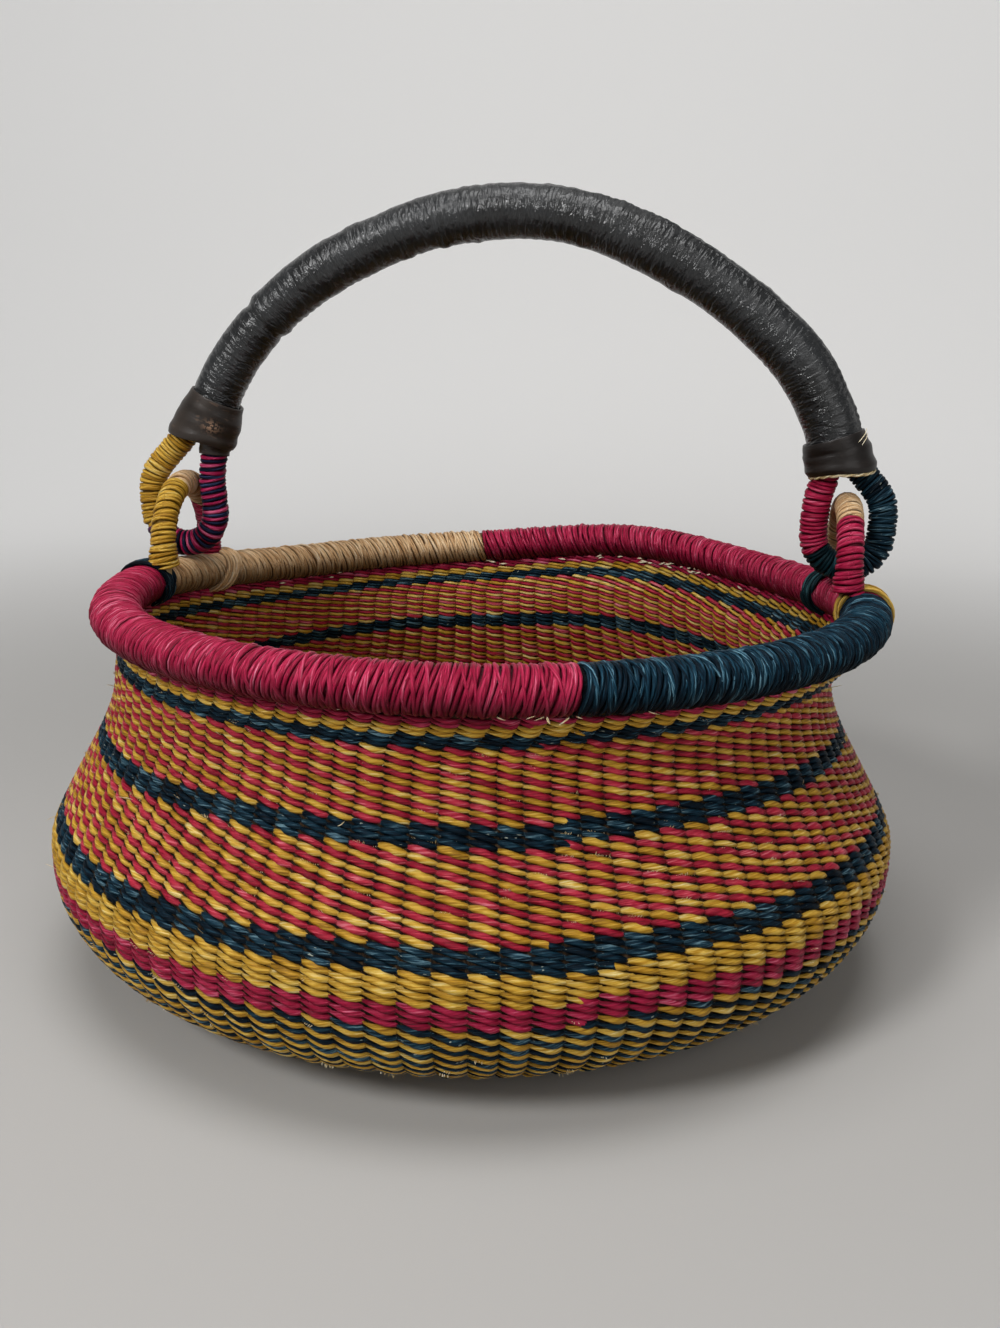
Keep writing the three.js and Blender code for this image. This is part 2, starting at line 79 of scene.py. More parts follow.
def linear(colour: str, share: float = 1.0) -> tuple[float, ...]:
    """Turns an sRGB hex colour into the linear one that a shader takes.

    Args:
        colour: Hex colour such as "#A81A48".
        share: How much of its light is kept.

    Returns:
        Linear red, green, blue and an alpha of 1.
    """
    parts = [int(colour[i : i + 2], 16) / 255.0 for i in (1, 3, 5)]
    return (*[share * (c / 12.92 if c <= 0.04045 else ((c + 0.055) / 1.055) ** 2.4) for c in parts], 1.0)


class Shader:
    """Fills the node tree of a material or of the world."""

    def __init__(self, owner: bpy.types.ID) -> None:
        owner.use_nodes = True
        self.tree = owner.node_tree
        self.tree.nodes.clear()

    def add(self, kind: str, inputs: dict, output: int | str = 0,
            **settings: object) -> bpy.types.NodeSocket | None:
        """Adds a node with its settings and links.

        Args:
            kind: Blender's name of the node type, after "ShaderNode".
            inputs: Values or output sockets for its inputs, by name or number.
            output: Name or number of the output that is wanted.
            **settings: Properties of the node. "stops" is a ramp's places and hex colours.

        Returns:
            The output, or None where the node has none.
        """
        node = self.tree.nodes.new(f"ShaderNode{kind}")
        stops = settings.pop("stops", ())
        for key, value in settings.items():
            setattr(node, key, value)
        for _ in stops[2:]:
            node.color_ramp.elements.new(0.5)
        for element, (place, colour) in zip(node.color_ramp.elements if stops else (), stops):
            element.position, element.color = place, linear(colour)
        for key, value in inputs.items():
            if isinstance(value, bpy.types.NodeSocket):
                self.tree.links.new(value, node.inputs[key])
            else:
                node.inputs[key].default_value = value
        return node.outputs[output] if node.outputs else None


@dataclass(frozen=True)
class StrawFinish:
    """Elephant grass, split, dyed in the bundle and rolled into a strand between two palms.

    The rolled fibres give fine streaks along the strand, from dark ones to a few pale ones that
    are painted glints, and a soft gloss. The dark lines where strands press together are
    painted shade.
    """

    name: str
    slot: str
    streaks: str
    gloss: float = 0.18
    roughness: float = 0.42
    bleached: float = 0.0

    def paint(self, shader: Shader) -> None:
        """Makes the material.

        The UV map holds millimetres along the strand and around it. The attribute "tone" is a
        chance value that stays the same along one float or turn, raised on the wall's inside floats
        as painted light. The other attribute is painted shade: it says how deep a point lies between
        its neighbours, and so how dark it is painted there.

        Args:
            shader: Takes the nodes.
        """
        add = shader.add
        streaks = self.streaks.split()
        tone = add("Attribute", {}, "Fac", attribute_name="tone")
        # Painted shade: how deep a point lies between its neighbours, and so how dark it is painted
        nook = add("Attribute", {}, "Fac", attribute_name="nook")
        # The fibres lie 8 degrees askew, and each float shows another part of the pattern
        fibre = add("Mapping", {"Vector": add("UVMap", {}, uv_map="fibre"), "Rotation": (0.0, 0.0, 0.14)})
        apart = add("CombineXYZ", {"Z": add("Math", {0: tone, 1: 37.0}, operation="MULTIPLY")})
        # A streak is 17 mm long and 0.6 mm wide, as a bundle of fibres is
        fibre = add("Mapping", {"Vector": fibre, "Scale": (0.06, 1.7, 1.0)})
        fibre = add("VectorMath", {0: fibre, 1: apart}, operation="ADD")
        streak = add("TexNoise", {"Vector": fibre, "Scale": 1.0, "Detail": 4.0, "Roughness": 0.62})
        level = add("Math", {0: tone, 1: 0.34, 2: -0.62}, operation="MULTIPLY_ADD")
        level = add("Math", {0: streak, 1: 1.9, 2: level}, operation="MULTIPLY_ADD")
        # The upper stops are partly painted highlight: the light streaks and pale glints stand for light
        # raking a strand
        colour = add("ValToRGB", {"Fac": level}, stops=tuple(zip((0.08, 0.42, 0.7, 0.95), streaks)))
        if self.bleached > 0:
            # Specks of 3 by 1 mm, where the dye hasn't taken
            specks = add("Mapping", {"Vector": fibre, "Scale": (6.0, 0.6, 1.0)})
            specks = add("TexNoise", {"Vector": specks, "Scale": 1.0, "Detail": 2.0})
            specks = add("Math", {0: specks, 1: 0.74 - self.bleached}, operation="GREATER_THAN")
            colour = add("Mix", {0: specks, 6: colour, 7: linear("#A9B0A4")}, 2, data_type="RGBA")
        # Painted shade: deep points are pulled towards a third of the darkest streak colour
        colour = add("Mix", {0: nook, 6: colour, 7: linear(streaks[0], 0.3)}, 2, data_type="RGBA")
        # Single fibres would be too fine to show, so their ridges are 0.27 mm wide
        ridges = add("Mapping", {"Vector": fibre, "Scale": (1.2, 2.2, 1.0)})
        ridges = add("TexNoise", {"Vector": ridges, "Scale": 1.0, "Detail": 3.0})
        normal = add("Bump", {"Strength": 0.8, "Distance": 0.00045, "Height": ridges})
        surface = add("BsdfPrincipled", {"Base Color": colour, "Normal": normal, "Roughness": self.roughness,
                                         "Specular IOR Level": self.gloss})
        add("OutputMaterial", {"Surface": surface})


class Straw(Enum):
    """The dyes on this basket, their streaks from dark to the pale ones of painted glint."""

    # The brightest dye, a pinkish red on the whippings, with painted pale glints where light would rake a
    # turn
    MAGENTA = StrawFinish("magenta_dyed_straw", "magenta_straw", "#640420 #A60E3C #CC2E5A #EE8CA6")
    # The same dye in the wall, a darker copy of it as painted shade
    CRIMSON = StrawFinish("crimson_dyed_straw", "magenta_straw", "#5A041C #9A0A34 #BE2850 #E4809A")
    # A warm red that makes the striped rows look orange from afar, beside the yellow
    RED = StrawFinish("red_dyed_straw", "red_straw", "#6C081A #A21632 #C8364A #E88490")
    # Nearly black, with painted blue-green highlights where light would rake it, and pale specks without dye
    TEAL = StrawFinish("teal_dyed_straw", "teal_straw", "#03070C #0A1A26 #1C3C4C #7A9EAC", 0.06,
                       bleached=0.02)
    # The same dye on the rim, a lighter copy whose wide turns show more painted blue highlights
    RIM_TEAL = StrawFinish("rim_teal_straw", "teal_straw", "#02070C #091D2B #1F4A5F #84B2C4", 0.06)
    # A dark blue that draws a thin dark line beside the candy turns
    NAVY = StrawFinish("navy_dyed_straw", "teal_straw", "#05070F #10162C #232C4C #5A648C", 0.06)
    # Lemon yellow with ochre streaks
    YELLOW = StrawFinish("yellow_dyed_straw", "yellow_straw", "#80590E #C59329 #E2B94C #F6E29E")
    # Straw without dye that has browned in the sun
    TAN = StrawFinish("tan_straw", "tan_straw", "#94683F #DAAE7C #F6D6AA #FCF0D8")
    # Fresh pale straw: ends, stitches and the hidden bundles
    NATURAL = StrawFinish("undyed_straw", "natural_straw", "#A88850 #D6BE8C #F2E4C2 #FFF6E0")
    # Blackish green
    DARK_TEAL = StrawFinish("dark_teal_dyed_straw", "dark_teal_straw", "#030A0C #0A1E24 #163840 #4E7A80",
                            0.06)
    # Dull purple, dark in its streaks
    PURPLE = StrawFinish("purple_dyed_straw", "purple_straw", "#200820 #441640 #663060 #9A6294")
    # A bluish pink
    CANDY = StrawFinish("candy_dyed_straw", "candy_straw", "#740832 #A40E46 #CC3A70 #F08CAC")
    # The stakes in the dark between the floats, painted dark brown as painted shade: matt and barely seen
    STAKE = StrawFinish("shaded_stake_straw", "natural_straw", "#0E0906 #1E150D #3A2A1A #4A3A28",
                        roughness=0.85)


@dataclass(frozen=True)
class LeatherFinish:
    """Goatskin, stretched wet over the straw and dried.

    It shrinks into fine wrinkles across the grip, has pores, and is rubbed pale on its ridges.
    Where it is handled, it is polished, and lamps draw a broken line of light along it.
    """

    name: str
    slot: str
    dark: str
    light: str
    worn: str
    roughness: float
    wrinkle: float

    def paint(self, shader: Shader) -> None:
        """Makes the material.

        The UV map holds millimetres along the grip and around it, and the attribute that holds
        painted shade on straw pieces says here where the finish may be rubbed off.

        Args:
            shader: Takes the nodes.
        """
        add = shader.add
        skin = add("UVMap", {}, uv_map="fibre")
        rubbed = add("Attribute", {}, "Fac", attribute_name="nook")
        # Wrinkles 2 mm wide that run 8 mm round the grip, pores 0.7 mm apart, blotches of 22 mm
        wrinkles = add("Mapping", {"Vector": skin, "Scale": (0.5, 0.13, 1.0)})
        wrinkles = add("TexNoise", {"Vector": wrinkles, "Scale": 1.0, "Detail": 2.0, "Distortion": 0.5})
        pores = add("TexVoronoi", {"Vector": skin, "Scale": 1.4})
        blotch = add("TexNoise", {"Vector": skin, "Scale": 0.045, "Detail": 3.0})
        colour = add("ValToRGB", {"Fac": blotch}, stops=((0.3, self.dark), (0.72, self.light)))
        ridge = add("MapRange", {"Value": wrinkles, "From Min": 0.62, "From Max": 0.85, "To Max": 0.4})
        patchy = add("TexNoise", {"Vector": skin, "Scale": 0.6, "Detail": 3.0})
        patchy = add("Math", {0: patchy, 1: 0.5}, operation="GREATER_THAN")
        rubbed = add("Math", {0: rubbed, 1: patchy}, operation="MULTIPLY")
        for share in (ridge, rubbed):
            colour = add("Mix", {0: share, 6: colour, 7: linear(self.worn)}, 2, data_type="RGBA")
        rough = add("MapRange", {"Value": blotch, "From Min": 0.25, "From Max": 0.75,
                                 "To Min": self.roughness - 0.07, "To Max": self.roughness + 0.1})
        height = add("Math", {0: pores, 1: 0.06, 2: wrinkles}, operation="MULTIPLY_ADD")
        # The polish breaks the light more than the skin under it does
        skin_normal, polish_normal = (
            add("Bump", {"Strength": self.wrinkle, "Distance": depth, "Height": height})
            for depth in (0.0007, 0.002))
        surface = add("BsdfPrincipled", {"Base Color": colour, "Roughness": rough, "Normal": skin_normal,
                                         "Specular IOR Level": 0.32, "Coat Weight": self.wrinkle * 0.6,
                                         "Coat Roughness": 0.14, "Coat Normal": polish_normal})
        add("OutputMaterial", {"Surface": surface})


class Hide(Enum):
    """The leathers on this basket."""

    # Thin, black and polished, finely wrinkled all over
    BLACK = LeatherFinish("black_goatskin", "black_leather", "#08090A", "#1F2123", "#4C4D50", 0.36, 1.0)
    # Thick, brown and dull, rubbed to its raw tan where the hand passes
    BROWN = LeatherFinish("brown_goatskin", "brown_leather", "#1C1714", "#3C332C", "#9A7A62", 0.45, 0.16)
    # The same in brownish black, with less wear
    CUFF = LeatherFinish("cuff_goatskin", "black_leather", "#0F0B09", "#221A16", "#3E342C", 0.42, 0.16)


def run_lengths(points: np.ndarray) -> np.ndarray:
    """Gives the distance of each point from the first one, along the points."""
    return np.concatenate([[0.0], np.cumsum(np.linalg.norm(np.diff(points, axis=0), axis=1))])


class Line:
    """A line in space that is followed by the distance along it."""

    def __init__(self, points: np.ndarray) -> None:
        self.points = points
        self.distance = run_lengths(points)
        self.length = float(self.distance[-1])
        self.directions = np.gradient(points, self.distance, axis=0)

    def at(self, distance: np.ndarray) -> tuple[np.ndarray, np.ndarray]:
        """Gives points and directions.

        Args:
            distance: Distances from the start.

        Returns:
            The points, and the unit directions there.
        """
        place, along = (np.stack([np.interp(distance, self.distance, c) for c in rows.T], axis=-1)
                        for rows in (self.points, self.directions))
        return place, along / np.linalg.norm(along, axis=-1, keepdims=True)


def hermite(p1: np.ndarray, p2: np.ndarray, m1: np.ndarray, m2: np.ndarray, count: int) -> np.ndarray:
    """Gives points of a cubic from p1 up to p2, which start and end along m1 and m2."""
    t = np.linspace(0, 1, count, endpoint=False)[:, None]
    return ((2 * t**3 - 3 * t**2 + 1) * p1 + (t**3 - 2 * t**2 + t) * m1
            + (-2 * t**3 + 3 * t**2) * p2 + (t**3 - t**2) * m2)


def smooth_line(points: list[tuple[float, ...]], per_span: int = 24) -> Line:
    """Runs a centripetal spline through points.

    Args:
        points: The points, in order.
        per_span: Samples between two of them.

    Returns:
        The line.
    """
    p = np.array(points, float)
    p = np.vstack([2 * p[0] - p[1], p, 2 * p[-1] - p[-2]])
    rows = []
    for p0, p1, p2, p3 in zip(p[:-3], p[1:-2], p[2:-1], p[3:]):
        d0, d1, d2 = (max(float(np.linalg.norm(b - a)) ** 0.5, 1e-6)
                      for a, b in ((p0, p1), (p1, p2), (p2, p3)))
        m1 = ((p1 - p0) / d0 - (p2 - p0) / (d0 + d1) + (p2 - p1) / d1) * d1
        m2 = ((p2 - p1) / d1 - (p3 - p1) / (d1 + d2) + (p3 - p2) / d2) * d1
        rows.append(hermite(p1, p2, m1, m2, per_span))
    return Line(np.vstack([*rows, p[-2:-1]]))


def smoothstep(value: np.ndarray, low: float, high: float) -> np.ndarray:
    """Rises smoothly from 0 at low to 1 at high."""
    t = np.clip((value - low) / (high - low), 0, 1)
    return t * t * (3 - 2 * t)


def bell(value: np.ndarray, middle: float | np.ndarray, reach: float) -> np.ndarray:
    """Gives 1 at the middle and falls off on both sides, to about a third at the reach."""
    return np.exp(-(((value - middle) / reach) ** 2))


def section(along: np.ndarray, axis: tuple[float, ...]) -> tuple[np.ndarray, np.ndarray]:
    """Gives the axes of the sections across a line.

    Args:
        along: The line's unit directions.
        axis: World axis that the sections' height follows.

    Returns:
        Unit directions of the width and of the height, at each point.
    """
    side = np.broadcast_to(np.array(axis, float), along.shape)
    side = side - along * np.einsum("ij,ij->i", side, along)[:, None]
    side /= np.linalg.norm(side, axis=1, keepdims=True)
    return np.cross(side, along), side


def rim_lift(angle: np.ndarray | float) -> np.ndarray | float:
    """Gives how many mm the uneven rim is lifted at angles from +X towards +Y, in radians."""
    total = 0.0
    for middle, lift, reach in RIM_SWELLS:
        away = np.abs(np.mod(np.degrees(angle) - middle + 180, 360) - 180)
        total = total + lift * (1 + np.cos(math.pi * np.minimum(away / reach, 1))) / 2
    return total


def rim_line(start: float, end: float, count: int) -> Line:
    """Gives the middle line of a stretch of the rim between two angles in radians."""
    angle = np.linspace(start, end, count)
    return Line(np.stack([RIM_SHIFT + RIM_RADIUS * np.cos(angle), RIM_RADIUS * np.sin(angle),
                          RIM_HEIGHT + rim_lift(angle)], axis=-1))


@dataclass
class StrandMesh:
    """Collects strands, each a tube with an oval section, and makes one mesh of them."""

    name: str
    sides: int = 6
    count: int = 0
    tip_size: float = 0.06
    taper_size: float = 0.75
    vertices: list[np.ndarray] = field(default_factory=list)
    corners: list[np.ndarray] = field(default_factory=list)
    uvs: list[np.ndarray] = field(default_factory=list)
    tones: list[np.ndarray] = field(default_factory=list)
    painted_shades_and_wear: list[np.ndarray] = field(default_factory=list)

    def add(self, centre: np.ndarray, first: np.ndarray, second: np.ndarray,
            half_first: np.ndarray | float, half_second: np.ndarray | float,
            tone: np.ndarray | float = 0.5, shift: float = 0.0, blunt: bool = False,
            nook: np.ndarray | float = 0.0, edge: float = 0.75) -> None:
        """Adds a strand. What is given once holds for all its points.

        Args:
            centre: Its centre line, one row a point.
            first: Unit axis of the section.
            second: The section's other axis.
            half_first: Half-size along the first axis.
            half_second: Half-size along the second one.
            tone: Chance value for the colour.
            shift: Start of its fibre pattern, in mm.
            blunt: True closes the ends with a short taper, and False with a long one.
            nook: How deep it lies between its neighbours, from 0 to 1, which is painted as shade.
            edge: The same at the two edges of the section that the second axis points to.
        """
        n, halves = len(centre), []
        for half in (half_first, half_second):
            half = np.broadcast_to(np.asarray(half, float), (n,)).copy()
            half[[0, -1]] *= self.tip_size
            if not blunt:
                half[[1, -2]] *= self.taper_size
            halves.append(half[:, None])
        first, second = np.broadcast_to(first, (n, 3)), np.broadcast_to(second, (n, 3))
        run = np.gradient(centre, axis=0)
        if float(np.mean(np.einsum("ij,ij->i", np.cross(first, second), run))) < 0:
            second = -second
        angle = np.arange(self.sides) / self.sides * TAU
        rings = (centre[:, None] + np.cos(angle)[None, :, None] * (first * halves[0])[:, None]
                 + np.sin(angle)[None, :, None] * (second * halves[1])[:, None])
        step = TAU * float(np.mean(halves[0] + halves[1])) / 2 / self.sides
        # Painted shade: darker where the strand lies between its neighbours and at its two edges
        light = 1 - np.broadcast_to(np.asarray(nook, float), (n,))[:, None]
        deep = 1 - light * (1 - edge * np.abs(np.sin(angle)) ** 3)
        self.add_tube(rings, run_lengths(centre) + shift, step, tone, deep)

    def add_tube(self, rings: np.ndarray, along: np.ndarray, step: float, tone: np.ndarray | float,
                 deep: np.ndarray, turned: bool = False) -> None:
        """Adds a tube.

        Args:
            rings: Its points, ring by ring.
            along: Place of each ring in the fibre pattern, in mm.
            step: Width of its faces, in mm.
            tone: Chance value for the colour, for each ring or for all.
            deep: How deep its points lie between their neighbours, ring by ring, which is painted as
                shade; on leather it is where the finish is rubbed off instead.
            turned: True where the rings run the other way round.
        """
        n, m = rings.shape[:2]
        i, j = np.meshgrid(np.arange(n - 1), np.arange(m), indexing="ij")
        here, there, k = i * m, (i + 1) * m, (j + 1) % m
        quads = np.stack([here + j, here + k, there + k, there + j], axis=-1)
        u = along[np.stack([i, i, i + 1, i + 1], axis=-1)]
        v = np.stack([j, j + 1, j + 1, j], axis=-1) * step
        order = [0, 3, 2, 1] if turned else [0, 1, 2, 3]
        self.vertices.append(rings.reshape(-1, 3))
        self.corners.append(quads[..., order].reshape(-1, 4) + self.count)
        self.uvs.append(np.stack([u, v], axis=-1)[..., order, :].reshape(-1, 2))
        self.tones.append(np.repeat(np.broadcast_to(np.asarray(tone, float), (n,)), m))
        self.painted_shades_and_wear.append(deep.ravel())
        self.count += n * m

    def build(self) -> bpy.types.Object:
        """Makes the mesh object, in metres, and links it to the scene."""
        corners = np.concatenate(self.corners)
        mesh = bpy.data.meshes.new(self.name)
        mesh.vertices.add(self.count)
        mesh.vertices.foreach_set("co", (np.concatenate(self.vertices) * METRE).ravel())
        mesh.loops.add(corners.size)
        mesh.loops.foreach_set("vertex_index", corners.ravel().astype(np.int32))
        mesh.polygons.add(len(corners))
        mesh.polygons.foreach_set("loop_start", np.arange(0, corners.size, 4, dtype=np.int32))
        mesh.update(calc_edges=True)
        mesh.shade_smooth()
        layer = mesh.uv_layers.new(name="fibre")
        layer.data.foreach_set("uv", np.concatenate(self.uvs).ravel())
        for name, values in (("tone", self.tones), ("nook", self.painted_shades_and_wear)):
            layer = mesh.attributes.new(name, "FLOAT", "POINT")
            layer.data.foreach_set("value", np.concatenate(values).astype(np.float32))
        piece = bpy.data.objects.new(self.name, mesh)
        bpy.context.scene.collection.objects.link(piece)
        return piece


class Dresser:
    """Finishes a piece: its material, the body it rides on and the nodes it stands for."""

    def __init__(self) -> None:
        self.made: dict[str, bpy.types.Material] = {}

    def material(self, choice: Straw | Hide) -> bpy.types.Material:
        """Gives the material of a dye or a leather, made once."""
        finish = choice.value
        if finish.name not in self.made:
            self.made[finish.name] = bpy.data.materials.new(finish.name)
            finish.paint(Shader(self.made[finish.name]))
        return self.made[finish.name]

    def dress(self, piece: bpy.types.Object, choice: Straw | Hide, body: Body, *nodes: str) -> None:
        """Gives a piece its material, body and nodes.

        Args:
            piece: The mesh object.
            choice: Its dye or leather.
            body: The body that it rides on.
            *nodes: The CAD nodes that it stands for.
        """
        piece.data.materials.append(self.material(choice))
        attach(piece, body.value)
        if nodes:
            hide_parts(*nodes)
        LOG.info("%s: %d faces on %s", piece.name, len(piece.data.polygons), body.value)

    def dress_core(self, core: bpy.types.Object) -> None:
        """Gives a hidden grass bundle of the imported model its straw."""
        for place in core.material_slots:
            place.material = self.material(Straw.NATURAL)


@dataclass
class WallLine:
    """The middle of the wall's thickness, from the rim down and under to the middle of the base.

    Its points are radius and height. Those between two named ones are given as shares of the
    way from the lower to the upper.
    """

    shell: float = 4.5
    foot: tuple[float, float] = (100.0, 0.0)
    belly: tuple[float, float] = (200.0, 64.0)
    neck: tuple[float, float] = (168.0, 140.0)
    mouth: tuple[float, float] = (173.0, 158.6)
    flank: tuple[tuple[float, float], ...] = ((0.45, 0.11), (0.8, 0.33), (0.965, 0.65))
    shoulder: tuple[tuple[float, float], ...] = ((0.125, 0.16), (0.53, 0.47), (0.77, 0.66), (0.94, 0.84))
    throat: tuple[tuple[float, float], ...] = ((0.2, 0.4), (0.6, 0.75))
    per_span: int = 40
    floor_samples: int = 60

    def __post_init__(self) -> None:
        points = [self.foot]
        named = (self.foot, self.belly, self.neck, self.mouth)
        for start, end, shares in zip(named, named[1:], (self.flank, self.shoulder, self.throat)):
            points += [(start[0] + (end[0] - start[0]) * r, start[1] + (end[1] - start[1]) * z)
                       for r, z in shares]
            points.append(end)
        p = np.array([points[0], *points, points[-1]])
        rows = [hermite(p1, p2, (p2 - p0) / 2, (p3 - p1) / 2, self.per_span)
                for p0, p1, p2, p3 in zip(p[:-3], p[1:-2], p[2:-1], p[3:])]
        floor = np.linspace(0, self.foot[0], self.floor_samples)[:-1]
        outer = np.vstack([np.stack([floor, 0 * floor], axis=-1), *rows, p[-1:]])[::-1]
        direction = np.gradient(outer, axis=0)
        direction /= np.linalg.norm(direction, axis=1, keepdims=True)
        inward = np.stack([direction[:, 1], -direction[:, 0]], axis=-1)
        inward[np.abs(outer[:, 1]) < 1e-9] = (0.0, 1.0)
        self.line = Line(outer + inward * self.shell / 2)

    def down_to(self, height: float) -> float:
        """Gives the distance along the line from the mouth down to a height."""
        z = self.line.points[:, 1]
        lowest = int(np.argmin(z)) + 1
        return float(np.interp(-height, -z[:lowest], self.line.distance[:lowest]))

    def in_to(self, radius: float) -> float:
        """Gives the distance along the line from the mouth to a radius on the base."""
        flat = self.line.points[:, 0] <= self.foot[0] + 1e-6
        return float(np.interp(radius, self.line.points[flat, 0][::-1], self.line.distance[flat][::-1]))


@dataclass(frozen=True)
class Band:
    """One colour band of the wall: rows of two strands that twist round the stakes.

    It reaches down to a height or, on the base, in to a radius. Its jog is where its first row
    starts, in stakes from the others' place.
    """

    name: str
    rows: int
    until: float
    straws: tuple[Straw, ...]
    jog: float
    nodes: tuple[str, ...]
    on_base: bool = False
    sides: int = 6


@dataclass
class Wall:
    """The twined wall and base. Distances along it count from the mouth down and under."""

    dresser: Dresser
    stakes: int = 105
    strays: int = 26
    jog_angle: float = math.radians(-72.2)
    seed: int = 7
    # A strand's turns: how far it bulges, how square its floats are, how steep they lie, how far
    # they roll over, and below which height the roll fades out, so that the base stands flat
    depth: float = 1.36
    fullness: float = 0.75
    rise_share: float = 0.37
    roll: float = 0.6
    roll_height: float = 20.0
    # Its half-sizes: where it passes between stakes, and what a float adds, in mm outwards and as
    # shares of the row's height upwards. It gets painted shade between stakes and at its two edges.
    half_depth: tuple[float, float] = (0.5, 0.5)
    half_height: tuple[float, float] = (0.4, 0.2)
    nook: float = 0.16
    edge: float = 0.6
    # Spread of the floats' thickness and height, and how far a thicker one bulges more
    size_spread: float = 0.1
    size_limit: float = 0.25
    jitter: float = 0.12
    size_bulge: float = 0.25
    # Rows at the back are pushed up, and floats inside get lighter streaks as painted light
    crowding: float = 7.0
    inside_painted_light: float = 0.25
    frayed: float = 0.09
    # Where a strand gets points: outside a stake, then inside the next one, in degrees of its twist
    turns: tuple[float, ...] = (-84.0, -60.0, -30.0, 0.0, 30.0, 60.0, 84.0, 98.0, 128.0, 180.0, 232.0, 262.0)
    bands: tuple[Band, ...] = (
        Band("magenta_high", 2, 155.4, (Straw.CRIMSON,), 3, ("magenta_high_band",)),
        Band("yellow_high", 2, 151.6, (Straw.YELLOW,), -1, ("yellow_high_band",)),
        Band("teal_high", 3, 146.2, (Straw.TEAL,), 1, ("teal_high_band",)),
        Band("striped_high", 12, 117.8, (Straw.YELLOW, Straw.RED), 0, ("striped_high_band",)),
        Band("teal_mid", 3, 110.4, (Straw.TEAL,), 1, ("teal_mid_band",)),
        Band("striped_low", 12, 80.0, (Straw.YELLOW, Straw.RED), 1, ("striped_low_band",)),
        Band("teal_low", 3, 72.0, (Straw.TEAL,), 0, ("teal_low_band",)),
        Band("yellow_low", 4, 61.4, (Straw.YELLOW,), 2, ("yellow_low_band",)),
        Band("magenta_low", 3, 52.6, (Straw.CRIMSON,), 1, ("magenta_low_band",)),
        Band("base_flank", 13, 22.0, (Straw.YELLOW, Straw.TEAL), 1, ("base_flank",)),
        Band("base_turn", 15, 112.0, (Straw.YELLOW, Straw.TEAL), 1, ("base_turn",), True),
        Band("base_flat", 14, 76.0, (Straw.YELLOW, Straw.TEAL), 1, ("base_turn", "base_floor"), True, 5),
    )
    # The middle of the base: number of stakes, rows, inner radius and node
    start_rings: tuple[tuple, ...] = ((53, 13, 38.0, "base_floor"), (27, 13, 4.0, "base_start"))
    # Undyed bits inside: middle and spread in degrees, and their number
    stitches: tuple[tuple, ...] = ((68.0, 7.0, 20), (53.0, 4.0, 5), (98.0, 5.0, 4), (140.0, 9.0, 3))

    def __post_init__(self) -> None:
        self.profile = WallLine()
        self.chance = np.random.default_rng(self.seed)
        self.lean = np.clip(self.chance.normal(0, 0.06, self.stakes), -0.12, 0.12)
        self.frays = StrandMesh("frayed_ends", sides=3)

    def place(self, theta: np.ndarray, arc: np.ndarray) -> tuple[np.ndarray, ...]:
        """Finds points in the middle of the wall.

        Args:
            theta: Angles from +X towards +Y.
            arc: Distances along the wall.

        Returns:
            The points, the outward normals, and the directions up along the wall.
        """
        flat, down = self.profile.line.at(arc)
        flat = flat + down * np.minimum(arc, 0.0)[:, None]
        belly, neck, mouth = (p[1] for p in (self.profile.belly, self.profile.neck, self.profile.mouth))
        radial = np.stack([np.cos(theta), np.sin(theta)], axis=-1)
        point = np.concatenate([radial * flat[:, :1], flat[:, 1:]], axis=1)
        point[:, 0] += RIM_SHIFT * smoothstep(flat[:, 1], neck, mouth)
        point[:, 2] += rim_lift(theta) * smoothstep(flat[:, 1], belly, mouth)
        up = np.concatenate([radial * -down[:, :1], -down[:, 1:]], axis=1)
        out = np.concatenate([radial * -down[:, 1:], down[:, :1]], axis=1)
        return point, out, up

    def unevenness(self, theta: np.ndarray, arc: np.ndarray) -> np.ndarray:
        """Gives how far hand work moves a row down the wall, in mm, none at the ends.

        At the back the upper rows are packed closer, which moves them up towards the rim.
        """
        calm = smoothstep(arc, 4, 40) * (1 - smoothstep(arc, 200, 240))
        waves = (0.7 * np.sin(2 * theta + 0.6 + arc / 60) + 0.45 * np.sin(5 * theta + 2.1 - arc / 45)
                 + 0.25 * np.sin(11 * theta + arc / 30))
        crowded = smoothstep(arc, 1, 44) * (1 - smoothstep(arc, 44, 130))
        return waves * calm - self.crowding * smoothstep(np.sin(theta), -0.3, 0.9) * crowded

    def strand(self, mesh: StrandMesh, which: int, stakes: int, start: tuple[float, float],
               end: tuple[float, float], jogs: tuple[float, float], frayed: float = 0.0) -> None:
        """Twists one strand through the rows of a band.

        Args:
            mesh: Takes the strand.
            which: 0 or 1, the strand's place in the pair.
            stakes: Number of stakes round the basket.
            start: Row number and distance along the wall where the band starts.
            end: The same where it ends.
            jogs: Where its first row starts and its last one ends, in stakes from the jog.
            frayed: Share of its floats with frayed fibre ends.
        """
        first, last = stakes * start[0] + jogs[0], stakes * end[0] + jogs[1]
        cycles = np.arange(math.floor(first / 2) - 1, math.ceil(last / 2) + 2)
        phase = (cycles[:, None] * TAU + np.radians(np.array(self.turns))[None]).ravel()
        stake = phase / math.pi - which
        # A strand runs on under the next band, by a third of a stake
        tuck = 0.35
        keep = (stake >= first - tuck) & (stake <= last + tuck)
        phase, stake = phase[keep], stake[keep]
        pitch = (end[1] - start[1]) / (end[0] - start[0])
        arc = start[1] + (stake / stakes - start[0]) * pitch
